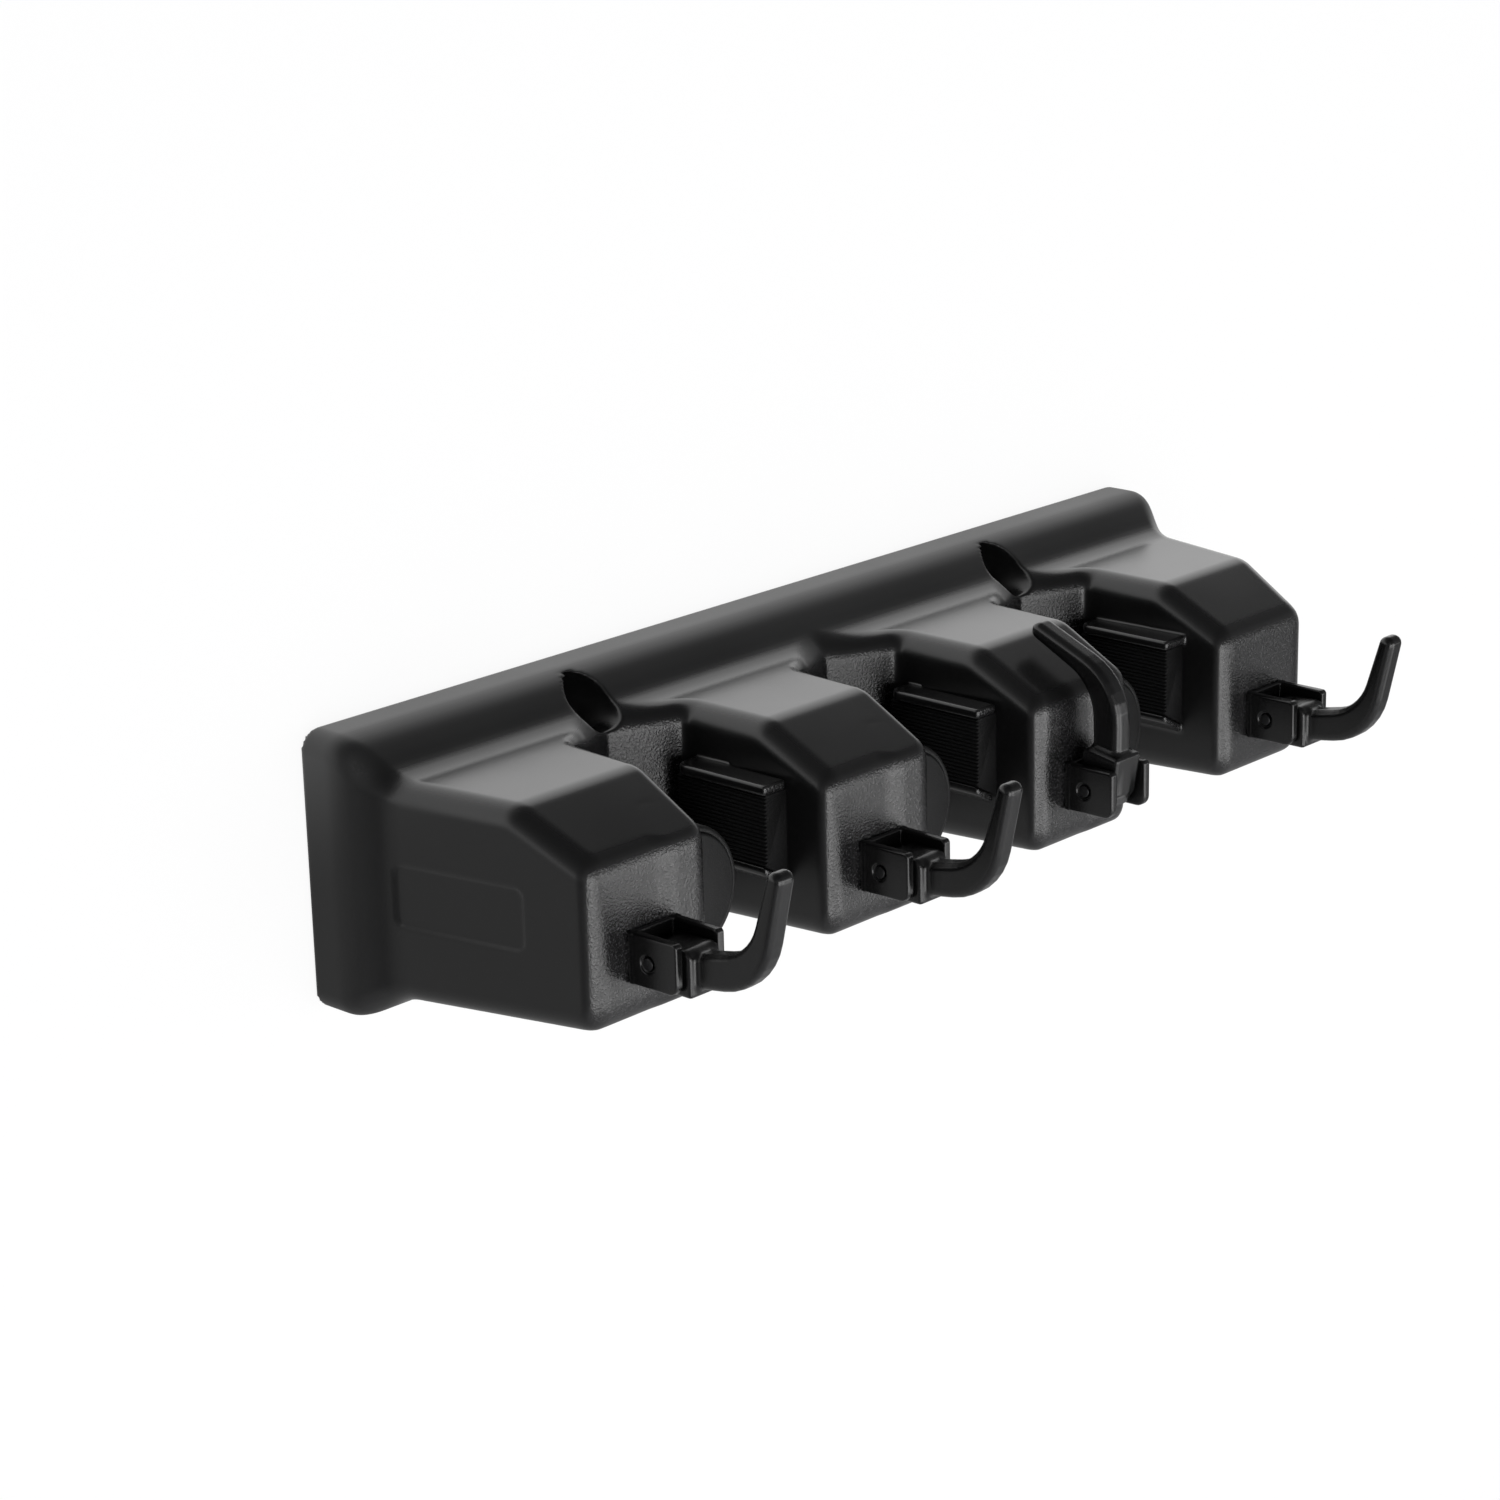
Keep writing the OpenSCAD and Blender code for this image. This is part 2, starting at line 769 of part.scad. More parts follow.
module hook(k) {
    turn = len([for (f = folded_hooks) if (f == k) f]) * hook_fold;
    color(gloss_black) rack_frame() translate([tower_x(k), -pin_d, -pin_drop])
        rotate([-turn, 0, 0]) difference() {
            union() {
                across(-hook_w / 2, hook_w / 2) polygon(rounded(hook_points, hook_radii));
                across(-knuckle_w / 2, knuckle_w / 2) polygon(rounded(block_points, block_radii));
                crossbar([0, 0], knuckle_r, -knuckle_w / 2, knuckle_w / 2);
            }
            crossbar([0, 0], pin_r + pin_fit, -bracket_w / 2, bracket_w / 2);
        }
}

module hook_pin(k) {
    color(steel) rack_frame()
        crossbar([pin_d, -pin_drop], pin_r, tower_x(k) - bracket_w / 2, tower_x(k) + bracket_w / 2);
}

for (k = [1:towers]) housing(k);
for (k = [1:slots]) track_plate(k);
track_screws();
for (k = [1:slots]) roller_axle(k);
for (k = [1:slots]) axle_clip(k);
for (k = [1:slots]) roller_hub(k);
for (k = [1:slots]) roller_sleeve(k);
for (k = [1:slots]) grip_pad(k);
for (k = [1:towers]) hook_bracket(k);
for (k = [1:towers]) hook(k);
for (k = [1:towers]) hook_pin(k);
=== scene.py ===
# %% [markdown]
# This lesson dresses a moulded wall rack with three gripping slots. The rack is a black shell whose four
# towers leave the slots between them. Each slot has a falling roller on its left and a ridged rubber pad
# on its right, and each tower carries a hook that folds up on a pin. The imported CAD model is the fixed
# frame: every piece below is built in the same place and rides on a body of that frame by name.

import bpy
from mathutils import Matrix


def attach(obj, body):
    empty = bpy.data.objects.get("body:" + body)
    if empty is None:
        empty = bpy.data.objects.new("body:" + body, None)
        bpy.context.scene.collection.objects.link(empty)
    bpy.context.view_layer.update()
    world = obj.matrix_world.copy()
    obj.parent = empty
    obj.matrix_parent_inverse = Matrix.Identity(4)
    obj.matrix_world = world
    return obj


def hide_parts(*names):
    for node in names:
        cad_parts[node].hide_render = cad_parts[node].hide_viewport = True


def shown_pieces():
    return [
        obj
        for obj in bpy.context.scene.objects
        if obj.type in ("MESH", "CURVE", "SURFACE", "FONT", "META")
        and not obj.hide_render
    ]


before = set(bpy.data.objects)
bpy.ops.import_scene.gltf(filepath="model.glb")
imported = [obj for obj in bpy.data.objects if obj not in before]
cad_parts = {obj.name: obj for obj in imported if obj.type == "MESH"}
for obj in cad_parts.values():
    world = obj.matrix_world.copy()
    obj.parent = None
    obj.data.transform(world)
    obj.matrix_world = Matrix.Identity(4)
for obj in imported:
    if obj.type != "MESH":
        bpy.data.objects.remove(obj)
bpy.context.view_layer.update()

# %% [markdown]
# The rest of the script needs Blender's own modules, numpy for number grids and openvdb, which comes
# with Blender and turns a grid of distances into a mesh. Lengths are written in millimetres, as on the
# drawing of the rack, and become metres only when a mesh is stored. Depth is measured from the wall
# towards the front, and heights are measured from the middle line of the base.

# %% Modules and the rack's main sizes
import math

import bmesh
import bpy
import numpy as np
import openvdb
from mathutils import Matrix, Vector

MM = 0.001
SCREW_RISE = 24.5
PITCH = 71.5
SLOTS = (1, 2, 3)
SCREW_SLOTS = (1, 3)
TOWERS = (1, 2, 3, 4)
FOLDED_TOWER = 3
HALF_LENGTH, HALF_HEIGHT = 139.05, 31.1
RIM_D, ROOT_D, TOWER_D = 11.0, 20.0, 71.0
WALL = 2.6
FINE_EDGE = 0.3


def slot_x(k):
    return (k - 2) * PITCH


def tower_x(k):
    return (k - 2.5) * PITCH


print("slots at", [slot_x(k) for k in SLOTS], "towers at", [tower_x(k) for k in TOWERS])

# %% [markdown]
# The camera stands where the photograph was taken from: left of the rack, a little above it and about
# 86 cm away. Its place was found by fitting straight edges of the rack to the picture. A lens of 87 mm
# on a 36 mm sensor gives the same perspective in a square image, so no shift is needed.

# %% Camera at the photograph's view
TURN, TILT, ROLL = -46.723, 17.565, -1.404
LENS, SENSOR = 87.186, 36.0
CAMERA_X, CAMERA_Y, CAMERA_HEIGHT = -599.38, -561.72, 252.74
turn, tilt, roll = (math.radians(a) for a in (TURN, TILT, ROLL))
back = Vector((math.sin(turn) * math.cos(tilt), -math.cos(turn) * math.cos(tilt), math.sin(tilt)))
right = Vector((0, 0, 1)).cross(back).normalized()
up = back.cross(right)
right, up = (math.cos(roll) * right + math.sin(roll) * up, math.cos(roll) * up - math.sin(roll) * right)
lens_data = bpy.data.cameras.new("photo_lens")
lens_data.lens = LENS
lens_data.sensor_width = SENSOR
lens_data.clip_start = 0.01
camera = bpy.data.objects.new("photo_camera", lens_data)
stand = Vector((CAMERA_X, CAMERA_Y, CAMERA_HEIGHT - SCREW_RISE)) * MM
camera.matrix_world = Matrix.Translation(stand) @ Matrix((right, up, back)).transposed().to_4x4()
bpy.context.scene.collection.objects.link(camera)
bpy.context.scene.camera = camera
print("camera at", [round(v, 3) for v in camera.location])

# %% [markdown]
# Moulded plastic has a round on every edge. A bevel on a mesh made by cutting is hard to keep clean
# where many cuts meet, so the moulded pieces are described by distance instead: for every point of a
# grid, how far it is from the piece's skin, negative inside. Outlines give distances in a plane, and
# these helpers join, cut and intersect them with a round of a chosen radius.

# %% Distances from outlines, and ways to combine them
def rounded(points, radii, steps=7):
    """An outline with its corners rounded, each by its own radius."""
    pts = [np.array(p, float) for p in points]
    made = []
    for i, p in enumerate(pts):
        r = radii[i]
        if r == 0:
            made.append(p)
            continue
        u, v = pts[i - 1] - p, pts[(i + 1) % len(pts)] - p
        u, v = u / np.linalg.norm(u), v / np.linalg.norm(v)
        half = math.acos(float(np.clip(u @ v, -1, 1))) / 2
        middle = p + (u + v) / np.linalg.norm(u + v) * r / math.sin(half)
        start, end = p + u * r / math.tan(half) - middle, p + v * r / math.tan(half) - middle
        first = math.atan2(start[1], start[0])
        sweep = math.atan2(start[0] * end[1] - start[1] * end[0], start @ end)
        for s in range(steps + 1):
            a = first + sweep * s / steps
            made.append(middle + r * np.array([math.cos(a), math.sin(a)]))
    return np.array(made)


def outline(points, u, v):
    """Distance in the plane from a closed outline, negative inside."""
    nearest, inside = np.inf, False
    for a, b in zip(points, np.roll(points, -1, axis=0)):
        e = b - a
        if e @ e == 0:
            continue
        wu, wv = u - a[0], v - a[1]
        t = np.clip((wu * e[0] + wv * e[1]) / (e @ e), 0, 1)
        nearest = np.minimum(nearest, (wu - e[0] * t) ** 2 + (wv - e[1] * t) ** 2)
        if e[1] != 0:
            crosses = ((a[1] <= v) != (b[1] <= v)) & (u < a[0] + wv * e[0] / e[1])
            inside = inside ^ crosses
    return (np.where(inside, -1, 1) * np.sqrt(nearest)).astype(np.float32)


def both(r, *fields):
    """What is inside all the fields, its convex edges rounded by r."""
    deepest, outer = fields[0], np.maximum(fields[0] + r, 0) ** 2
    for f in fields[1:]:
        deepest = np.maximum(deepest, f)
        outer = outer + np.maximum(f + r, 0) ** 2
    return np.minimum(deepest, -r) + np.sqrt(outer)


def either(r, a, b):
    """What is inside one field or the other, with a soft fillet where they meet."""
    h = np.clip(0.5 + 0.5 * (b - a) / r, 0, 1)
    return b + h * (a - b) - r * h * (1 - h)


def without(r, a, b):
    """The first field with the second cut from it, the cut's edges rounded by r."""
    return both(r, a, -b)


def slab(value, low, high):
    return np.maximum(low - value, value - high)


def bar(u, v, middle, r):
    return np.sqrt((u - middle[0]) ** 2 + (v - middle[1]) ** 2) - r


square = rounded([(-1, -1), (1, -1), (1, 1), (-1, 1)], [0] * 4)
print("a square's middle is", outline(square, 0.0, 0.0), "from its edge")

# %% [markdown]
# The next helper makes the mesh. It fills a grid with the distances of a shape, lets openvdb lay faces
# on the surface where the distance is zero, moves each vertex exactly onto that surface, and takes each
# vertex's normal from the slope of the distances. These normals keep flat faces flat and rounds smooth
# in the render, however the faces happen to run. The values named first are counted in grid cells.

# %% From distances to a mesh
MARGIN, BAND, LONGEST_MOVE, SLOPE_REACH = 2.5, 3.0, 0.7, 0.6
MOVES = 2


def sampled(values, p):
    """Values of a grid between its points, at index coordinates p."""
    p = np.clip(p, 0, np.array(values.shape) - 1.001)
    i = p.astype(int)
    f = p - i
    total = 0
    for corner in range(8):
        c = np.array([(corner >> b) & 1 for b in range(3)])
        weight = np.prod(np.where(c, f, 1 - f), axis=1)
        total = total + weight * values[tuple((i + c).T)]
    return total


def slope_at(values, p):
    columns = []
    for axis in range(3):
        step = np.zeros(3)
        step[axis] = SLOPE_REACH
        columns.append((sampled(values, p + step) - sampled(values, p - step)) / (2 * SLOPE_REACH))
    return np.stack(columns, axis=1)


def stored(name, points, faces, normals=None):
    """A Blender object from points in millimetres; faces are rows of point numbers."""
    mesh = bpy.data.meshes.new(name)
    mesh.vertices.add(len(points))
    mesh.vertices.foreach_set("co", (np.asarray(points) * MM).astype(np.float32).ravel())
    corners = np.concatenate([np.asarray(f).ravel() for f in faces if len(f)])
    sizes = np.concatenate([np.full(len(f), np.asarray(f).shape[1]) for f in faces if len(f)])
    mesh.loops.add(len(corners))
    mesh.loops.foreach_set("vertex_index", corners.astype(np.int32))
    mesh.polygons.add(len(sizes))
    mesh.polygons.foreach_set("loop_start", (np.cumsum(sizes) - sizes).astype(np.int32))
    mesh.update(calc_edges=True)
    mesh.validate()
    mesh.shade_smooth()
    if normals is not None:
        mesh.normals_split_custom_set_from_vertices(normals.tolist())
    piece = bpy.data.objects.new(name, mesh)
    bpy.context.scene.collection.objects.link(piece)
    return piece


def moulded(name, low, high, cell, shape, lift=0.0):
    """The surface of shape(x, depth, height), in a box given as x, y and height."""
    axes = [np.arange(low[i] - MARGIN * cell, high[i] + (MARGIN + 1) * cell, cell, dtype=np.float32)
            for i in range(3)]
    x, y, z = np.ix_(*axes)
    values = np.clip(shape(x, -y, z), -BAND * cell, BAND * cell).astype(np.float32)
    grid = openvdb.FloatGrid(background=BAND * cell)
    grid.copyFromArray(values)
    points, triangles, quads = grid.convertToPolygons(isovalue=0.0, adaptivity=0.0)
    p = points.astype(float)
    for _ in range(MOVES):
        g = slope_at(values, p)
        move = sampled(values, p) / np.maximum((g * g).sum(1), 1e-6)
        p = p - np.clip(move, -LONGEST_MOVE, LONGEST_MOVE)[:, None] * g
    g = slope_at(values, p)
    normals = g / np.maximum(np.linalg.norm(g, axis=1), 1e-9)[:, None]
    origin = np.array([a[0] for a in axes])
    piece = stored(name, origin + p * cell + np.array([0, 0, lift]), [quads, triangles], normals)
    print(name, len(piece.data.polygons), "faces")
    return piece


# %% [markdown]
# Turned pieces, such as the roller and its axle, are drawn as one half section and swept round an axis
# that points from the wall to the front. Sharp edges are marked by angle, so that the flat ends stay
# crisp while the round sides shade smoothly. Parts from one mould share one mesh under numbered names.

# %% From a half section to a turned piece, and pieces in their places
TURNED_CREASE = 32
SAME_POINT = 1e-7


def creased(piece, degrees):
    """Shades a piece smooth, but for edges that turn by more than an angle."""
    piece.data.shade_smooth()
    piece.data.set_sharp_from_angle(angle=math.radians(degrees))


def tidied(piece, degrees):
    """Joins doubled points, turns all faces outwards and marks sharp edges by angle."""
    work = bmesh.new()
    work.from_mesh(piece.data)
    bmesh.ops.remove_doubles(work, verts=work.verts, dist=SAME_POINT)
    bmesh.ops.dissolve_degenerate(work, edges=work.edges, dist=SAME_POINT)
    bmesh.ops.recalc_face_normals(work, faces=work.faces)
    work.to_mesh(piece.data)
    work.free()
    creased(piece, degrees)


def turned(name, section, sides):
    """A closed section of (radius, depth) points swept round the depth axis."""
    section = np.asarray(section, float)
    angles = np.linspace(0, 2 * math.pi, sides, endpoint=False)
    points = np.array([(r * math.cos(a), -d, r * math.sin(a)) for a in angles for r, d in section])
    n = len(section)
    faces = [(i * n + j, i * n + (j + 1) % n, (i + 1) % sides * n + (j + 1) % n, (i + 1) % sides * n + j)
             for i in range(sides) for j in range(n)]
    piece = stored(name, points, [np.array(faces)])
    tidied(piece, TURNED_CREASE)
    return piece


def placed(piece, place, body, nodes):
    """Puts a piece at a place in millimetres and lets it ride on its body for its CAD node."""
    piece.location = Vector(place) * MM
    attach(piece, body)
    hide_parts(*nodes)
    return piece


def numbered(first, k):
    """The first piece itself, or another with number k that shares its mesh."""
    if k == 1:
        return first
    other = bpy.data.objects.new(first.name.rsplit("_", 1)[0] + f"_{k}", first.data)
    bpy.context.scene.collection.objects.link(other)
    return other


# %% [markdown]
# The shell is what is inside both its side view and its plan. The side view has the straight rim at the
# wall, the shoulder, the tower top, the sloped face and the front. The plan has the drafted end walls and
# the three slots with their pointed backs. The cavity is the same form moved in by one wall thickness,
# so the wall is even everywhere, as in a real moulding that is open at the back.

# %% Outlines of the shell
BEHIND_D, SLOPE_D = -20, 50.5
ROOT_LOW, FRONT_LOW, FRONT_TOP, SLOPE_TOP, ROOT_TOP = -26.1, -24.2, 11.6, 22.02, 22.5
ROOT_X, FRONT_X = 133.55, 124.25
HALF_SLOT, HALF_ROOT, SLOT_SIDE_D, SLOT_BACK_D = 18.75, 17.25, 29.0, 22.0
SIDE_RADII = [0, 12, 12, 6.5, 5.5, 9, 11, 10, 0]
END_RADII = [12, 16, 5.6]
SLOT_RADII = [4.8, 3, 1.2, 3, 4.8]
SIDE = rounded(
    [(BEHIND_D, -HALF_HEIGHT), (RIM_D, -HALF_HEIGHT), (ROOT_D, ROOT_LOW), (TOWER_D, FRONT_LOW),
     (TOWER_D, FRONT_TOP), (SLOPE_D, SLOPE_TOP), (ROOT_D, ROOT_TOP), (RIM_D, HALF_HEIGHT),
     (BEHIND_D, HALF_HEIGHT)], SIDE_RADII)
end_points = [(HALF_LENGTH, RIM_D), (ROOT_X, ROOT_D), (FRONT_X, TOWER_D)]
plan_points = [(-HALF_LENGTH, BEHIND_D), (HALF_LENGTH, BEHIND_D)] + end_points
plan_radii = [0, 0] + END_RADII
for k in reversed(SLOTS):
    middle_x = slot_x(k)
    plan_points += [(middle_x + HALF_SLOT, TOWER_D), (middle_x + HALF_ROOT, SLOT_SIDE_D),
                    (middle_x, SLOT_BACK_D),
                    (middle_x - HALF_ROOT, SLOT_SIDE_D), (middle_x - HALF_SLOT, TOWER_D)]
    plan_radii += SLOT_RADII
plan_points += [(-x, d) for x, d in reversed(end_points)]
plan_radii += reversed(END_RADII)
PLAN = rounded(plan_points, plan_radii)
print("side view has", len(SIDE), "points and the plan", len(PLAN))

# %% [markdown]
# Inside the shell are the mouldings that hold the other pieces: a rib behind each slot, posts for the
# track plate, a boss round each wall screw, and a shelf over each pad with a ledge under it. Then come
# the cuts: the screw recesses, the room that the roller needs on its way up, and the way of its axle.
# Each is added only in the part of the grid near its slot, which keeps the sums small.

# %% Mouldings and cuts at one slot
ROLLER_REST = np.array([-12.6, -6.8])
TRACK_LEAN = math.radians(60)
TRACK = np.array([-math.sin(TRACK_LEAN), math.cos(TRACK_LEAN)])
TRAVEL = 16.3
ROOM_R, ROOM_D, ROOM_EDGE = 15.15, (29.3, 59.4), 0.7
WAY_R, WAY_D, WAY_EDGE = 3.3, (18.4, 30.1), 0.5
RIB_X, RIB_D, RIB_FILLET = (12, 13.6), (1, 22), 1.2
POSTS = ((-4.5, 7.5), (-4.5, -14.5), (-46.75, 6))
POST_FRONTS = (22.5, 22.5, 69.7)
POST_R, POST_BACK, POST_FILLET = 2.8, 16, 0.9
WALL_SCREW = (0, SCREW_RISE)
BOSS_R, BOSS_D, BOSS_FILLET = 7.4, (0, 20.7), 1.0
RECESS_R, RECESS_D, RECESS_EDGE = 5.6, (3, 34), 0.35
HOLE_R, HOLE_EDGE = 2.4, 0.4
PAD_X, PAD_TOP, PAD_BOTTOM, PAD_FRONT, PAD_BACK = 11.28, 8.7, -7.5, 57.8, 31.8
PAD_ROOT_X, SHELF_LIP = 18.8, 0.8
SHELF_LOW, SHELF_TOP = PAD_TOP + 0.1, PAD_TOP + 2.4
SHELF_EDGE, LEDGE_EDGE, PAD_FILLET = 0.55, 0.5, 0.5
LEDGE_TIP, LEDGE_ROOT = (-7.6, -9.6), (-13.9, -11.9)
SHELF = rounded([(PAD_X - SHELF_LIP, PAD_BACK), (PAD_ROOT_X, PAD_BACK),
                 (PAD_ROOT_X, PAD_FRONT + SHELF_LIP), (PAD_X - SHELF_LIP, PAD_FRONT + SHELF_LIP)],
                [3, 0, 0, 0.5])
LEDGE = np.array([(PAD_X, v) for v in LEDGE_TIP] + [(PAD_ROOT_X, v) for v in LEDGE_ROOT])


def along_track(u, v, r):
    """Distance from a round-ended slot of half width r along the roller's track."""
    t = np.clip((u - ROLLER_REST[0]) * TRACK[0] + (v - ROLLER_REST[1]) * TRACK[1], 0, TRAVEL)
    return np.sqrt((u - ROLLER_REST[0] - t * TRACK[0]) ** 2 + (v - ROLLER_REST[1] - t * TRACK[1]) ** 2) - r


def slot_mouldings(shell, body, u, d, z, with_screw):
    rib = np.maximum(both(FINE_EDGE, slab(u, *RIB_X), slab(d, *RIB_D)), body)
    shell = either(RIB_FILLET, shell, rib)
    for post, front in zip(POSTS, POST_FRONTS):
        stem = both(FINE_EDGE, bar(u, z, post, POST_R), slab(d, POST_BACK, front))
        shell = either(POST_FILLET, shell, stem)
    if with_screw:
        boss = both(FINE_EDGE, bar(u, z, WALL_SCREW, BOSS_R), slab(d, *BOSS_D))
        shell = either(BOSS_FILLET, shell, np.maximum(boss, body))
    shell = np.maximum(shell, body)
    shelf = both(SHELF_EDGE, outline(SHELF, u, d), slab(z, SHELF_LOW, SHELF_TOP))
    ledge = both(LEDGE_EDGE, outline(LEDGE, u, z), slab(d, PAD_BACK, PAD_FRONT))
    return either(PAD_FILLET, either(PAD_FILLET, shell, shelf), ledge)


def slot_cuts(shell, u, d, z, with_screw):
    shell = without(ROOM_EDGE, shell, np.maximum(along_track(u, z, ROOM_R), slab(d, *ROOM_D)))
    shell = without(WAY_EDGE, shell, np.maximum(along_track(u, z, WAY_R), slab(d, *WAY_D)))
    if with_screw:
        recess = np.maximum(bar(u, z, WALL_SCREW, RECESS_R), slab(d, *RECESS_D))
        shell = without(RECESS_EDGE, shell, recess)
        shell = without(HOLE_EDGE, shell, bar(u, z, WALL_SCREW, HOLE_R) + np.zeros_like(d))
    return shell


print("roller room is", 2 * ROOM_R, "mm high and reaches", TRAVEL, "mm along the track")

# %% [markdown]
# The left end wall carries a bare sunk plate, four tenths of a millimetre deep. It is made by moving the
# shell's own skin in by that much over the plate, so its floor follows the drafted wall, and the step at
# its border is a short slope that the grid can hold.

# %% The whole shell as one field
SHELL_CELL = 0.62
EDGE_R, ROLLER_EDGE_R, EDGE_BLEND = 5.0, 2.5, 7.0
EDGE_SHIFT, EDGE_STEADY = 3.0, 6.0
SLOT_SHIFT, SLOT_REACH = 12, 42
SUNK_END_X, SUNK_D, SUNK_Z = -112, (21.0, 53.0), (-8.45, 5.05)
SUNK_CORNER, SUNK_DEPTH, SUNK_SLOPE = 2.0, 0.4, 0.9


def eased(share):
    """A share from 0 to 1 that starts and ends gently."""
    return share * share * (3 - 2 * share)


def edge_round(x):
    """The round of the top edges, smaller beside a roller, where the room for it comes close."""
    nearest = np.minimum.reduce([np.abs(x - slot_x(k) + HALF_SLOT + EDGE_SHIFT) for k in SLOTS])
    share = np.clip((nearest - EDGE_STEADY) / EDGE_BLEND, 0, 1)
    return ROLLER_EDGE_R + (EDGE_R - ROLLER_EDGE_R) * eased(share)


def shell_shape(x, d, z):
    body = both(edge_round(x), outline(SIDE, d, z), outline(PLAN, x, d))
    shell = both(FINE_EDGE, body, -(body + WALL))
    for k in SLOTS:
        near = np.abs(x[:, 0, 0] - slot_x(k) + SLOT_SHIFT) < SLOT_REACH
        u = x[near] - slot_x(k)
        with_screw = k in SCREW_SLOTS
        made = slot_mouldings(shell[near], body[near], u, d, z, with_screw)
        shell[near] = slot_cuts(made, u, d, z, with_screw)
    end = x[:, 0, 0] < SUNK_END_X
    sunk = np.clip(0.5 - both(SUNK_CORNER, slab(d, *SUNK_D), slab(z, *SUNK_Z)) / SUNK_SLOPE, 0, 1)
    shell[end] = np.maximum(shell[end], body[end] + SUNK_DEPTH * eased(sunk))
    return np.maximum(shell, -d)


shell_low = (-HALF_LENGTH, -TOWER_D, -HALF_HEIGHT)
shell_high = (HALF_LENGTH, 0, HALF_HEIGHT)
shell_piece = moulded("shell", shell_low, shell_high, SHELL_CELL, shell_shape, lift=-SCREW_RISE)
placed(shell_piece, (0, 0, 0), "base", [f"housing_{k}" for k in TOWERS])
print("shell box", [round(v / MM, 1) for v in shell_piece.dimensions])

# %% [markdown]
# A hook is a J in side view with a rounded, nearly oval section, and a broad block at its foot that turns
# between the bracket's ears. Sweeping a section along a curve would pinch at the tight inner bend, so the
# J is an outline of its own, thickened to both sides and rounded. One mesh serves all four hooks. The
# third hook stands folded up against its tower, as in the photograph.

# %% Hooks
HOOK_CELL = 0.3
PIN_D, PIN_Z = TOWER_D + 4.1, -9.6
FOLD = 80.0
HOOK_REACH, HOOK_TIP, HOOK_LOW = 33, 25, -6.2
BLOCK_BACK, BLOCK_FRONT = -3.95, 9.5
ARM_HALF, ARM_EDGE, ARM_FILLET = 2.8, 1.7, 1.4
BLOCK_HALF, BLOCK_EDGE = 4.6, 0.9
KNUCKLE_R, KNUCKLE_EDGE, KNUCKLE_FILLET = 3.7, 0.5, 0.4
HOOK_BORE, HOOK_BORE_EDGE = 1.55, 0.2
HOOK = rounded([(0, HOOK_LOW), (26.9, -1.9), (HOOK_REACH, HOOK_TIP), (29, HOOK_TIP), (23.1, 5.8), (0, 1)],
               [0, 16, 1.92, 1.92, 12, 0])
BLOCK = rounded([(BLOCK_BACK, -4.6), (0, HOOK_LOW), (BLOCK_FRONT, HOOK_LOW), (BLOCK_FRONT, 4.2),
                 (0, KNUCKLE_R), (BLOCK_BACK, 0)], [0, 0, 0.8, 2.2, 0, 0])


def hook_shape(x, d, z):
    arm = both(ARM_EDGE, outline(HOOK, d, z), np.abs(x) - ARM_HALF)
    block = both(BLOCK_EDGE, outline(BLOCK, d, z), np.abs(x) - BLOCK_HALF)
    knuckle = both(KNUCKLE_EDGE, bar(d, z, (0, 0), KNUCKLE_R), np.abs(x) - BLOCK_HALF)
    form = either(ARM_FILLET, arm, either(KNUCKLE_FILLET, block, knuckle))
    return without(HOOK_BORE_EDGE, form, bar(d, z, (0, 0), HOOK_BORE) + np.zeros_like(x))


hook_low = (-BLOCK_HALF, -HOOK_REACH, HOOK_LOW)
hook_high = (BLOCK_HALF, -BLOCK_BACK, HOOK_TIP)
first_hook = moulded("hook_piece_1", hook_low, hook_high, HOOK_CELL, hook_shape)
for k in TOWERS:
    hook = numbered(first_hook, k)
    if k == FOLDED_TOWER:
        hook.rotation_euler = (math.radians(-FOLD), 0, 0)
    placed(hook, (tower_x(k), -PIN_D, PIN_Z - SCREW_RISE), f"folding_hook_{k}", [f"hook_{k}"])
print("hooks stand", round(first_hook.dimensions.y / MM, 1), "mm deep")

# %% [markdown]
# The bracket is a clevis: a small plate let into the tower's front, two ears with a rounded lower corner,
# and two barbed prongs that snap behind the wall. A shallow ring round the pin's hole shows as the dark
# circle that the pin's end sits in.

# %% Hook brackets
BRACKET_CELL = 0.26
BRACKET_BACK, BRACKET_FRONT, BRACKET_LOW, BRACKET_TOP = 69.8, 83.3, -14.9, -3.7
BRACKET_HALF, EAR_INSIDE, EAR_EDGE = 7.2, 5.0, 0.5
PRONG_D, PRONG_Z = (65.1, 70.2), (-12.8, -5.8)
BARB_ROOT, BARB_HALF, BARB_BACK, BARB_FRONT = 6.8, 8.0, 66.1, 68.3
PIN_HOLE, PIN_RING_R, PIN_RING_X, PIN_HOLE_EDGE = 1.45, 2.0, 6.8, 0.15
EAR = rounded([(BRACKET_BACK, BRACKET_LOW), (BRACKET_FRONT, BRACKET_LOW), (BRACKET_FRONT, BRACKET_TOP),
               (BRACKET_BACK, BRACKET_TOP)], [0, 2.5, 1, 0])
BARB = np.array([(BRACKET_HALF, BARB_BACK), (BARB_HALF, BARB_FRONT), (BARB_ROOT, BARB_FRONT),
                 (BARB_ROOT, BARB_BACK)])


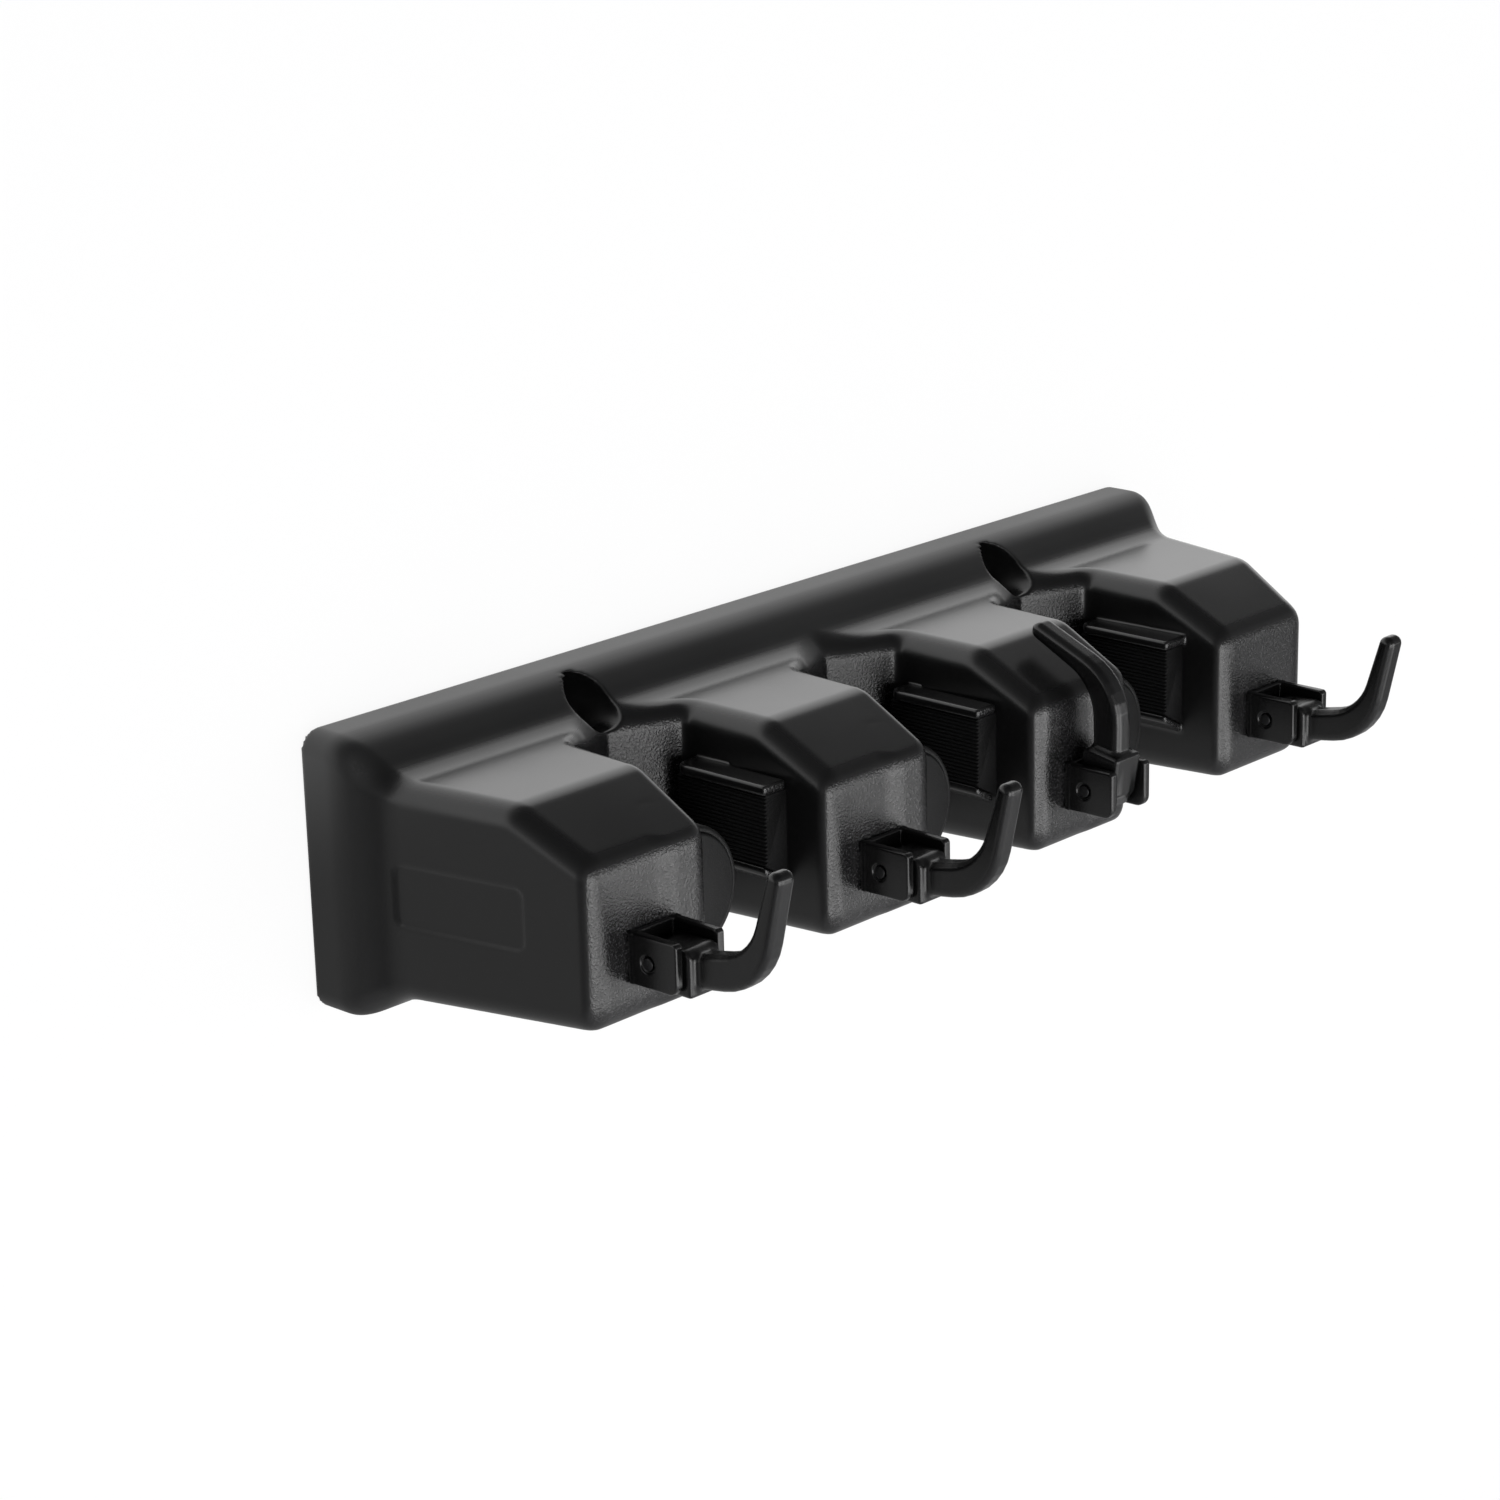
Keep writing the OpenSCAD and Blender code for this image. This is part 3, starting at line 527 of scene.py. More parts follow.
def bracket_shape(x, d, z):
    side = np.abs(x)
    ears = both(EAR_EDGE, outline(EAR, d, z), slab(side, EAR_INSIDE, BRACKET_HALF))
    plate = both(FINE_EDGE, slab(d, BRACKET_BACK, TOWER_D), slab(z, BRACKET_LOW, BRACKET_TOP),
                 side - BRACKET_HALF)
    prongs = both(FINE_EDGE, slab(d, *PRONG_D), slab(z, *PRONG_Z), slab(side, EAR_INSIDE, BRACKET_HALF))
    barbs = np.maximum(outline(BARB, side, d), slab(z, *PRONG_Z))
    form = either(EAR_EDGE, ears, plate)
    form = np.minimum(form, np.minimum(prongs, barbs))
    form = without(PIN_HOLE_EDGE, form, bar(d, z, (PIN_D, PIN_Z), PIN_HOLE) + np.zeros_like(x))
    ring = np.maximum(bar(d, z, (PIN_D, PIN_Z), PIN_RING_R), PIN_RING_X - side)
    return without(PIN_HOLE_EDGE, form, ring)


bracket_low = (-BARB_HALF, -BRACKET_FRONT, BRACKET_LOW)
bracket_high = (BARB_HALF, -PRONG_D[0], BRACKET_TOP)
first_bracket = moulded("bracket_piece_1", bracket_low, bracket_high, BRACKET_CELL, bracket_shape)
for k in TOWERS:
    bracket = numbered(first_bracket, k)
    placed(bracket, (tower_x(k), 0, -SCREW_RISE), "base", [f"hook_bracket_{k}"])

# %% [markdown]
# The pin is a plain drawn pin with a small round on each end. It is turned from a half section whose axis
# is laid along the rack afterwards.

# %% Hook pins
PIN_R, PIN_EDGE = 1.4, 0.35
pin_section = rounded([(0, -BRACKET_HALF), (PIN_R, -BRACKET_HALF), (PIN_R, BRACKET_HALF), (0, BRACKET_HALF)],
                      [0, PIN_EDGE, PIN_EDGE, 0], 5)
first_pin = turned("pin_piece_1", pin_section, sides=40)
for k in TOWERS:
    pin = numbered(first_pin, k)
    pin.rotation_euler = (0, 0, math.radians(90))
    placed(pin, (tower_x(k), -PIN_D, PIN_Z - SCREW_RISE), "base", [f"hook_pin_{k}"])
print("pins are", round(first_pin.dimensions.y / MM, 1), "mm long")

# %% [markdown]
# The roller is a hollow hub with a rubber sleeve on it. The hub's flat front disc is what shows between
# the towers. Its edge has a small round that catches a thin line of light, and the sleeve's front stands a
# little behind it. Both are turned. The hub's inside has the boss for the axle and four thin ribs.

# %% Roller hubs and sleeves
ROLLER_FRONT, ROLLER_BACK, DISC_BACK, FLANGE_D = 58.6, 30.1, 56.0, 31.6
HUB_R, HUB_INSIDE_R, FLANGE_R, AXLE_BOSS_R, AXLE_BORE = 13.25, 11.25, 14.3, 4.96, 2.56
DIMPLE_D, DIMPLE_R, DIMPLE_RIM_R = 58.3, 1.1, 1.5
SLEEVE_D, SLEEVE_INSIDE_R, SLEEVE_R = (31.65, 58.0), 13.3, 14.75
HUB_RIBS, HUB_RIB_SIZE, HUB_RIB_PLACE = 4, (7.0, 24.6, 1.6), (8.2, -43.9, 0)
ROLLER_SIDES = 128
hub_section = rounded(
    [(0, DIMPLE_D), (DIMPLE_R, DIMPLE_D), (DIMPLE_RIM_R, ROLLER_FRONT), (HUB_R, ROLLER_FRONT),
     (HUB_R, FLANGE_D), (FLANGE_R, FLANGE_D), (FLANGE_R, ROLLER_BACK), (HUB_INSIDE_R, ROLLER_BACK),
     (HUB_INSIDE_R, DISC_BACK), (AXLE_BOSS_R, DISC_BACK), (AXLE_BOSS_R, ROLLER_BACK),
     (AXLE_BORE, ROLLER_BACK), (AXLE_BORE, DISC_BACK), (0, DISC_BACK)],
    [0, 0.2, 0.2, 0.7, 0.2, 0.3, 0.3, 0.3, 1.0, 1.0, 0.4, 0.3, 0.1, 0], 5)
sleeve_section = rounded(
    [(SLEEVE_INSIDE_R, SLEEVE_D[0]), (SLEEVE_R, SLEEVE_D[0]), (SLEEVE_R, SLEEVE_D[1]),
     (SLEEVE_INSIDE_R, SLEEVE_D[1])], [0.2, 0.4, 1.0, 0.3], 6)


def roller_place(k):
    return slot_x(k) + ROLLER_REST[0], 0, ROLLER_REST[1] - SCREW_RISE


first_hub = turned("hub_piece_1", hub_section, ROLLER_SIDES)
ribs = bmesh.new()
ribs.from_mesh(first_hub.data)
for i in range(HUB_RIBS):
    made = bmesh.ops.create_cube(ribs, size=1)["verts"]
    quarter = Matrix.Rotation(i * 2 * math.pi / HUB_RIBS, 3, "Y")
    bmesh.ops.scale(ribs, vec=Vector(HUB_RIB_SIZE) * MM, verts=made)
    bmesh.ops.translate(ribs, vec=Vector(HUB_RIB_PLACE) * MM, verts=made)
    bmesh.ops.rotate(ribs, cent=(0, 0, 0), matrix=quarter, verts=made)
ribs.to_mesh(first_hub.data)
ribs.free()
creased(first_hub, TURNED_CREASE)
first_sleeve = turned("sleeve_piece_1", sleeve_section, ROLLER_SIDES)
for k in SLOTS:
    hub, sleeve = numbered(first_hub, k), numbered(first_sleeve, k)
    placed(hub, roller_place(k), f"roller_{k}", [f"roller_hub_{k}"])
    placed(sleeve, roller_place(k), f"roller_{k}", [f"roller_sleeve_{k}"])
print("rollers are", round(first_sleeve.dimensions.x / MM, 2), "mm across")

# %% [markdown]
# The roller's axle is a stepped pin: a tail for the clip, a neck that slides in the plate's inclined slot,
# a round shoe in front of the plate, and the journal with its snap groove. The clip is an E ring with an
# open mouth. Both show only from behind, where the shell is open.

# %% Roller axles and clips
AXLE_BACK, AXLE_FRONT = 9.15, 55.6
NECK_R, SHOE_R, JOURNAL_R = 2.9, 5.5, 2.5
CLIP_GROOVE_R, CLIP_GROOVE_D = 2.3, (10.15, 11.75)
SNAP_GROOVE_R, SNAP_GROOVE_D = 2.2, (51.6, 52.8)
SHOE_D = (16.25, 18.25)
CLIP_CELL, CLIP_R, CLIP_BORE, CLIP_D = 0.2, 5.5, 2.35, (10.2, 11.7)
MOUTH_HALF, CLIP_EDGE, MOUTH_EDGE = 1.75, 0.2, 0.25
axle_section = rounded(
    [(0, AXLE_BACK), (NECK_R, AXLE_BACK), (NECK_R, CLIP_GROOVE_D[0]), (CLIP_GROOVE_R, CLIP_GROOVE_D[0]),
     (CLIP_GROOVE_R, CLIP_GROOVE_D[1]), (NECK_R, CLIP_GROOVE_D[1]), (NECK_R, SHOE_D[0]), (SHOE_R, SHOE_D[0]),
     (SHOE_R, SHOE_D[1]), (JOURNAL_R, SHOE_D[1]), (JOURNAL_R, SNAP_GROOVE_D[0]),
     (SNAP_GROOVE_R, SNAP_GROOVE_D[0]), (SNAP_GROOVE_R, SNAP_GROOVE_D[1]), (JOURNAL_R, SNAP_GROOVE_D[1]),
     (JOURNAL_R, AXLE_FRONT), (0, AXLE_FRONT)],
    [0, 0.3, 0.1, 0.05, 0.05, 0.1, 0.1, 0.3, 0.3, 0.2, 0.1, 0.05, 0.05, 0.1, 0.4, 0], 3)


def clip_shape(x, d, z):
    ring = both(CLIP_EDGE, bar(x, z, (0, 0), CLIP_R), slab(d, *CLIP_D))
    ring = without(CLIP_EDGE, ring, bar(x, z, (0, 0), CLIP_BORE) + np.zeros_like(d))
    mouth = np.maximum(np.abs(x) - MOUTH_HALF, z) + np.zeros_like(d)
    return without(MOUTH_EDGE, ring, mouth)


first_axle = turned("axle_piece_1", axle_section, sides=48)
clip_low, clip_high = (-CLIP_R, -CLIP_D[1], -CLIP_R), (CLIP_R, -CLIP_D[0], CLIP_R)
first_clip = moulded("clip_piece_1", clip_low, clip_high, CLIP_CELL, clip_shape)
for k in SLOTS:
    axle, clip = numbered(first_axle, k), numbered(first_clip, k)
    placed(axle, roller_place(k), f"roller_slide_{k}", [f"roller_axle_{k}"])
    placed(clip, roller_place(k), f"roller_slide_{k}", [f"axle_clip_{k}"])

# %% [markdown]
# The track plate closes the shell behind each roller and carries the inclined slot. It is a flat moulding
# with rounded corners and edges, and with a hole over each post for its screw.

# %% Track plates
PLATE_CELL = 0.35
PLATE_X, PLATE_Z, PLATE_D = (-50.75, -0.5), (-18.5, 11.5), (12, 16)
PLATE_CORNER, PLATE_EDGE = 3, 0.5
TRACK_HALF, PLATE_HOLE = 3.15, 1.3
PLATE = rounded([(PLATE_X[0], PLATE_Z[0]), (PLATE_X[1], PLATE_Z[0]), (PLATE_X[1], PLATE_Z[1]),
                 (PLATE_X[0], PLATE_Z[1])], [PLATE_CORNER] * 4)


def plate_shape(x, d, z):
    plate = both(PLATE_EDGE, outline(PLATE, x, z), slab(d, *PLATE_D))
    plate = without(FINE_EDGE, plate, along_track(x, z, TRACK_HALF) + np.zeros_like(d))
    for post in POSTS:
        plate = without(FINE_EDGE, plate, bar(x, z, post, PLATE_HOLE) + np.zeros_like(d))
    return plate


plate_low, plate_high = (PLATE_X[0], -PLATE_D[1], PLATE_Z[0]), (PLATE_X[1], -PLATE_D[0], PLATE_Z[1])
first_plate = moulded("plate_piece_1", plate_low, plate_high, PLATE_CELL, plate_shape)
for k in SLOTS:
    plate = numbered(first_plate, k)
    placed(plate, (slot_x(k), 0, -SCREW_RISE), "base", [f"track_plate_{k}"])

# %% [markdown]
# Nine small pan head screws hold the plates. Their heads have a cross recess, cut as two crossed slots
# that taper with depth. One mesh is shared by all nine.

# %% Track screws
SCREW_CELL = 0.14
HEAD_R, HEAD_D, DOME_R, DOME_D = 2.4, (10.5, 12), 3.6, 14.1
SHANK_R, SHANK_D = 1.2, (11.5, 21.4)
CROSS_HALF, CROSS_REACH, CROSS_TAPER = 0.3, 1.3, 0.25
SCREW_EDGE, CROSS_EDGE = 0.2, 0.1


def screw_shape(x, d, z):
    dome = np.sqrt(x ** 2 + z ** 2 + (d - DOME_D) ** 2) - DOME_R
    head = both(SCREW_EDGE, bar(x, z, (0, 0), HEAD_R) + np.zeros_like(d), slab(d, *HEAD_D), dome)
    shank = both(SCREW_EDGE, bar(x, z, (0, 0), SHANK_R) + np.zeros_like(d), slab(d, *SHANK_D))
    arm_x = np.maximum(np.abs(z) - CROSS_HALF, np.abs(x) - CROSS_REACH)
    arm_z = np.maximum(np.abs(x) - CROSS_HALF, np.abs(z) - CROSS_REACH)
    cross = np.maximum(np.minimum(arm_z, arm_x) + CROSS_TAPER * (d - HEAD_D[0]), d - SHANK_D[0])
    return np.minimum(without(CROSS_EDGE, head, cross), shank)


screw_low, screw_high = (-HEAD_R, -SHANK_D[1], -HEAD_R), (HEAD_R, -HEAD_D[0], HEAD_R)
first_screw = moulded("screw_piece_1", screw_low, screw_high, SCREW_CELL, screw_shape)
screw_spots = [(slot_x(k) + u, 0, v - SCREW_RISE) for k in SLOTS for u, v in POSTS]
for number, spot in enumerate(screw_spots, start=1):
    placed(numbered(first_screw, number), spot, "base", ["track_screws"])
print("screws:", len(screw_spots))

# %% [markdown]
# The grip pad is a moulded rubber block with a comb of fine ridges. Its section is the same along its
# length, so it is a stack of equal rings of points from back to front. The last ring at each end is pulled
# in a little, which gives the end faces a soft edge. Two studs go through the wall to round heads.

# %% Grip pads
RIDGES, RIDGE_STEPS, RIDGE_H, RIDGE_POWER = 18, 8, 0.5, 1.4
PAD_EDGE, PAD_PULL, PAD_CREASE = 0.2, 0.3, 50
FOOT_X, FOOT_FALL, FOOT_RUN = 0.9, 4.0, 7.0
STUD_SHARES = (0.22, 0.78)
STUD_R, STUD_HEAD_R, STUD_TAPER, STUD_SIDES = 2.2, 3.1, 0.93, 32
STUD_ROOT, STUD_GAP, STUD_OVERLAP, STUD_HEAD_T, STUD_Z = 3.5, 0.25, 0.3, 1.4, 0.6
ridge_pitch = (PAD_TOP - PAD_BOTTOM) / RIDGES


def ridge_point(i, s):
    """A point of the comb, s steps down from the middle of ridge i."""
    part = s / RIDGE_STEPS
    dip = (0.5 - 0.5 * math.cos(2 * math.pi * part)) ** RIDGE_POWER
    return PAD_X + RIDGE_H * dip, PAD_TOP - (i + part + 0.5) * ridge_pitch


def wall_x(d):
    """The slot's drafted side wall, from the slot's middle."""
    return HALF_SLOT - (HALF_SLOT - HALF_ROOT) * (TOWER_D - d) / (TOWER_D - SLOT_SIDE_D)


def pad_ring(d, pull):
    ring = []
    for u, v in face:
        v = max(min(v, PAD_TOP - pull), PAD_BOTTOM + pull)
        ring.append((u + pull, -d, v))
    w = wall_x(d)
    ring += [(u, -d, PAD_BOTTOM + pull - FOOT_FALL * (u - PAD_X) / FOOT_RUN) for u in (PAD_X + FOOT_X, w)]
    return ring + [(w, -d, PAD_TOP - pull)]


face = [(PAD_X + RIDGE_H + PAD_EDGE, PAD_TOP), (PAD_X + RIDGE_H, PAD_TOP - PAD_EDGE)]
face += [ridge_point(i, s) for i in range(RIDGES) for s in range(RIDGE_STEPS)][:-RIDGE_STEPS // 2]
rings = [pad_ring(PAD_BACK, PAD_PULL), pad_ring(PAD_BACK + PAD_PULL, 0),
         pad_ring(PAD_FRONT - PAD_PULL, 0), pad_ring(PAD_FRONT, PAD_PULL)]
n = len(rings[0])
last = (len(rings) - 1) * n
sides = [(i * n + j, i * n + (j + 1) % n, (i + 1) * n + (j + 1) % n, (i + 1) * n + j)
         for i in range(len(rings) - 1) for j in range(n)]
ends = [np.arange(n)[None, :], np.arange(last, last + n)[None, :]]
first_pad = stored("pad_piece_1", np.concatenate([np.array(r) for r in rings]), [np.array(sides)] + ends)
tidied(first_pad, PAD_CREASE)
studs = bmesh.new()
studs.from_mesh(first_pad.data)
for share in STUD_SHARES:
    d = PAD_BACK + share * (PAD_FRONT - PAD_BACK)
    head = wall_x(d) + WALL + STUD_GAP
    for r, start, end in ((STUD_R, PAD_X + STUD_ROOT, head + STUD_OVERLAP),
                          (STUD_HEAD_R, head, head + STUD_HEAD_T)):
        made = bmesh.ops.create_cone(studs, cap_ends=True, segments=STUD_SIDES, radius1=r * MM,
                                     radius2=r * STUD_TAPER * MM, depth=(end - start) * MM)["verts"]
        bmesh.ops.rotate(studs, cent=(0, 0, 0), matrix=Matrix.Rotation(math.pi / 2, 3, "Y"), verts=made)
        bmesh.ops.translate(studs, vec=Vector(((start + end) / 2, -d, STUD_Z)) * MM, verts=made)
studs.to_mesh(first_pad.data)
studs.free()
creased(first_pad, PAD_CREASE)
for k in SLOTS:
    placed(numbered(first_pad, k), (slot_x(k), 0, -SCREW_RISE), "base", [f"grip_pad_{k}"])
print("pads have", RIDGES, "ridges,", round(ridge_pitch, 2), "mm apart")

# %% [markdown]
# Several finishes share the same effects, so each effect is a shader node group that is built once. The
# first is moulded grain: two noises of different size give a height for the bump and a mask of painted
# glints, where a lighter colour is painted on the tiny facets that would catch light. The second is tone
# drift, a slow change over a hand's width that keeps a large face from looking like paint. The third is
# streaks, noise drawn out along one axis, for drawn steel.

# %% Node groups
COORDINATES = ("Vector", "NodeSocketVector", None)


def new_group(name, inputs, outputs):
    group = bpy.data.node_groups.new(name, "ShaderNodeTree")
    for title, kind, value in inputs:
        socket = group.interface.new_socket(title, in_out="INPUT", socket_type=kind)
        if value is not None:
            socket.default_value = value
    for title in outputs:
        group.interface.new_socket(title, in_out="OUTPUT", socket_type="NodeSocketFloat")
    return group, group.nodes.new("NodeGroupInput"), group.nodes.new("NodeGroupOutput")


def noise(tree, vector, scale, detail, rough=0.5):
    node = tree.nodes.new("ShaderNodeTexNoise")
    node.inputs["Detail"].default_value = detail
    node.inputs["Roughness"].default_value = rough
    if isinstance(scale, (int, float)):
        node.inputs["Scale"].default_value = scale
    else:
        tree.links.new(scale, node.inputs["Scale"])
    tree.links.new(vector, node.inputs["Vector"])
    return node.outputs["Fac"]


def sums(tree, kind, a, b):
    node = tree.nodes.new("ShaderNodeMath")
    node.operation = kind
    for i, v in enumerate((a, b)):
        if isinstance(v, (int, float)):
            node.inputs[i].default_value = v
        else:
            tree.links.new(v, node.inputs[i])
    return node.outputs[0]


def spread(tree, value, low, high, to_low=0.0, to_high=1.0):
    """A value between low and high, eased and spread to new limits."""
    node = tree.nodes.new("ShaderNodeMapRange")
    node.interpolation_type = "SMOOTHSTEP"
    for title, v in (("From Min", low), ("From Max", high), ("To Min", to_low), ("To Max", to_high)):
        node.inputs[title].default_value = v
    tree.links.new(value, node.inputs["Value"])
    return node.outputs["Result"]


grain, g_in, g_out = new_group(
    "moulded_grain", [COORDINATES, ("Scale", "NodeSocketFloat", 2400.0)], ["Height", "PaintedGlint"])
coarse = noise(grain, g_in.outputs["Vector"], g_in.outputs["Scale"], detail=1.0)
finer = sums(grain, "MULTIPLY", g_in.outputs["Scale"], 2.3)
fine = noise(grain, g_in.outputs["Vector"], finer, detail=1.0)
height = sums(grain, "ADD", sums(grain, "MULTIPLY", coarse, 0.7), sums(grain, "MULTIPLY", fine, 0.3))
grain.links.new(height, g_out.inputs["Height"])
# Painted glints: the high spots of the coarse noise, where a lighter colour stands in for facets catching
# the light.
grain.links.new(spread(grain, coarse, 0.5, 0.66), g_out.inputs["PaintedGlint"])

drift, d_in, d_out = new_group("tone_drift", [COORDINATES, ("Scale", "NodeSocketFloat", 22.0)], ["Drift"])
clouds = noise(drift, d_in.outputs["Vector"], d_in.outputs["Scale"], detail=3.0, rough=0.55)
drift.links.new(spread(drift, clouds, 0.3, 0.7), d_out.inputs["Drift"])

streaks, s_in, s_out = new_group(
    "drawn_streaks", [COORDINATES, ("Stretch", "NodeSocketVector", (1.0, 1.0, 1.0))], ["Streak"])
stretched = streaks.nodes.new("ShaderNodeVectorMath")
stretched.operation = "MULTIPLY"
streaks.links.new(s_in.outputs["Vector"], stretched.inputs[0])
streaks.links.new(s_in.outputs["Stretch"], stretched.inputs[1])
lines = noise(streaks, stretched.outputs["Vector"], 1000.0, detail=3.0, rough=0.6)
streaks.links.new(lines, s_out.inputs["Streak"])
print("node groups:", [g.name for g in (grain, drift, streaks)])

# %% [markdown]
# The next helpers start a material: a Principled shader, the piece's own coordinates and a place for each
# group. Two colours are mixed by the drift mask, roughness follows it too, and the grain's height feeds a
# bump. Values that are the same all over, such as the specular level, are set on the shader itself.

# %% Materials from the groups
BLUE_CAST = 1.03


def start(name):
    material = bpy.data.materials.new(name)
    material.use_nodes = True
    tree = material.node_tree
    shader = tree.nodes["Principled BSDF"]
    place = tree.nodes.new("ShaderNodeTexCoord").outputs["Object"]
    return material, tree, shader, place


def use(tree, group, place, **values):
    node = tree.nodes.new("ShaderNodeGroup")
    node.node_tree = group
    tree.links.new(place, node.inputs["Vector"])
    for title, v in values.items():
        node.inputs[title].default_value = v
    return node.outputs


def mixed(tree, factor, a, b):
    node = tree.nodes.new("ShaderNodeMix")
    node.data_type = "RGBA"
    tree.links.new(factor, node.inputs["Factor"])
    for i, v in ((6, a), (7, b)):
        if isinstance(v, tuple):
            node.inputs[i].default_value = (*v, 1.0)
        else:
            tree.links.new(v, node.inputs[i])
    return node.outputs[2]


def bump(tree, shader, height, strength, distance):
    node = tree.nodes.new("ShaderNodeBump")
    node.inputs["Strength"].default_value = strength
    node.inputs["Distance"].default_value = distance
    tree.links.new(height, node.inputs["Height"])
    tree.links.new(node.outputs["Normal"], shader.inputs["Normal"])


def black(value):
    """A black that is very slightly blue, as carbon in plastic is."""
    return value, value, value * BLUE_CAST


def skinned(name, dark, light, scale, specular=0.5):
    """A plastic or rubber with its colours, still without roughness and bump."""
    material, tree, shader, place = start(name)
    slow = use(tree, drift, place)["Drift"]
    skin = use(tree, grain, place, Scale=scale)
    tone = mixed(tree, slow, black(dark), black(light))
    shader.inputs["Specular IOR Level"].default_value = specular
    return material, tree, shader, slow, skin, tone


def plastic(name, dark, light, fleck, rough, scale, depth, specular=0.5):
    material, tree, shader, slow, skin, tone = skinned(name, dark, light, scale, specular)
    # The base colour gets painted glints: a lighter colour on the grain's high spots.
    tree.links.new(mixed(tree, skin["PaintedGlint"], tone, black(fleck)), shader.inputs["Base Color"])
    tree.links.new(spread(tree, slow, 0.0, 1.0, *rough), shader.inputs["Roughness"])
    bump(tree, shader, skin["Height"], 1.0, depth)
    return material


# %% [markdown]
# The shell is black moulded plastic with a spark-eroded grain. The fronts of the towers carry the coarse
# grain, and the tops and end walls are nearly smooth, so a mask from the surface's direction scales the
# height of the bump. On the fronts the same mask also lays painted glints, a lighter colour on the grain's
# high spots. The tops and fronts are a little more polished, and the rim at the wall is more matt. The
# hooks and brackets are the same plastic with a closer, glossier skin.

# %% Plastic finishes
SHELL_ROUGH, TOP_POLISH, FRONT_POLISH, RIM_MATT, WEAR = 0.31, -0.11, -0.06, 0.17, 0.04
SMOOTH_SHARE, GRAIN_DEPTH = 0.06, 0.00016
# The colour of the painted glints on the tower fronts.
PAINTED_FRONT_GLINT = (0.024, 0.0235, 0.0245)
shell_plastic, tree, shader, slow, skin, tone = skinned("shell_plastic", 0.0045, 0.006, scale=1900.0)
facing = tree.nodes.new("ShaderNodeSeparateXYZ")
tree.links.new(tree.nodes.new("ShaderNodeNewGeometry").outputs["Normal"], facing.inputs[0])
spot = tree.nodes.new("ShaderNodeSeparateXYZ")
tree.links.new(tree.nodes.new("ShaderNodeTexCoord").outputs["Object"], spot.inputs[0])
upright = spread(tree, sums(tree, "ABSOLUTE", facing.outputs["Z"], 0.0), 0.3, 0.55, 1.0, 0.0)
front = sums(tree, "MULTIPLY", spread(tree, facing.outputs["Y"], -0.9, -0.6, 1.0, 0.0), upright)
grainy = spread(tree, front, 0.0, 1.0, SMOOTH_SHARE, 1.0)
# Painted glints on the tower fronts: a lighter colour on the grain's high spots, where facets would catch
# the light.
painted_front_glint = sums(tree, "MULTIPLY", skin["PaintedGlint"], front)
tree.links.new(mixed(tree, painted_front_glint, tone, PAINTED_FRONT_GLINT), shader.inputs["Base Color"])
rim = spread(tree, spot.outputs["Y"], -0.02, -0.012)
top = sums(tree, "MULTIPLY", spread(tree, facing.outputs["Z"], 0.75, 0.97), sums(tree, "SUBTRACT", 1.0, rim))
worn = sums(tree, "MULTIPLY", sums(tree, "SUBTRACT", slow, 0.5), WEAR)
polish = sums(tree, "ADD", sums(tree, "MULTIPLY", top, TOP_POLISH),
              sums(tree, "MULTIPLY", front, FRONT_POLISH))
dulled = sums(tree, "ADD", sums(tree, "MULTIPLY", rim, RIM_MATT), worn)
tree.links.new(sums(tree, "ADD", sums(tree, "ADD", polish, dulled), SHELL_ROUGH), shader.inputs["Roughness"])
bump(tree, shader, sums(tree, "MULTIPLY", skin["Height"], grainy), 1.0, GRAIN_DEPTH)

hook_plastic = plastic("hook_plastic", dark=0.0034, light=0.0046, fleck=0.006, rough=(0.2, 0.27),
                       scale=3600.0, depth=0.00003, specular=0.42)
plate_plastic = plastic("plate_plastic", dark=0.009, light=0.013, fleck=0.02, rough=(0.42, 0.52),
                        scale=2600.0, depth=0.0001)
hub_plastic = plastic("hub_plastic", dark=0.0036, light=0.005, fleck=0.007, rough=(0.42, 0.5),
                      scale=3200.0, depth=0.00006, specular=0.15)
print("plastic finishes:", shell_plastic.name, hook_plastic.name, plate_plastic.name, hub_plastic.name)

# %% [markdown]
# The pads and sleeves are black rubber: darker and much rougher than the plastic, with painted glints that
# lighten the high spots of the grain. Steel pins and axles are drawn along their length, and the screws and
# clips are zinc plated, which shows as a cooler grey with small cloudy patches.

# %% Rubber and metal finishes
pad_rubber = plastic("pad_rubber", dark=0.0022, light=0.0034, fleck=0.006, rough=(0.5, 0.6),
                     scale=2800.0, depth=0.0001, specular=0.1)
sleeve_rubber = plastic("sleeve_rubber", dark=0.0025, light=0.004, fleck=0.006, rough=(0.45, 0.55),
                        scale=3400.0, depth=0.0001, specular=0.25)
DRAWN, EVEN = (3.0, 0.2, 3.0), (1.0, 1.0, 1.0)


def metal(name, dark, light, stretch, rough):
    material, tree, shader, place = start(name)
    lines = use(tree, streaks, place, Stretch=stretch)["Streak"]
    slow = use(tree, drift, place, Scale=180.0)["Drift"]
    tone = sums(tree, "MULTIPLY", lines, slow)
    tree.links.new(mixed(tree, tone, dark, light), shader.inputs["Base Color"])
    tree.links.new(spread(tree, lines, 0.2, 0.8, *rough), shader.inputs["Roughness"])
    bump(tree, shader, lines, 0.25, 0.00005)
    shader.inputs["Metallic"].default_value = 1.0
    return material


black_pin = metal("blackened_steel", dark=(0.03, 0.03, 0.031), light=(0.07, 0.07, 0.072), stretch=DRAWN,
                  rough=(0.3, 0.45))
steel = metal("drawn_steel", dark=(0.2, 0.2, 0.205), light=(0.4, 0.4, 0.41), stretch=DRAWN,
              rough=(0.28, 0.45))
zinc = metal("zinc_plate", dark=(0.3, 0.31, 0.32), light=(0.62, 0.63, 0.65), stretch=EVEN, rough=(0.32, 0.5))

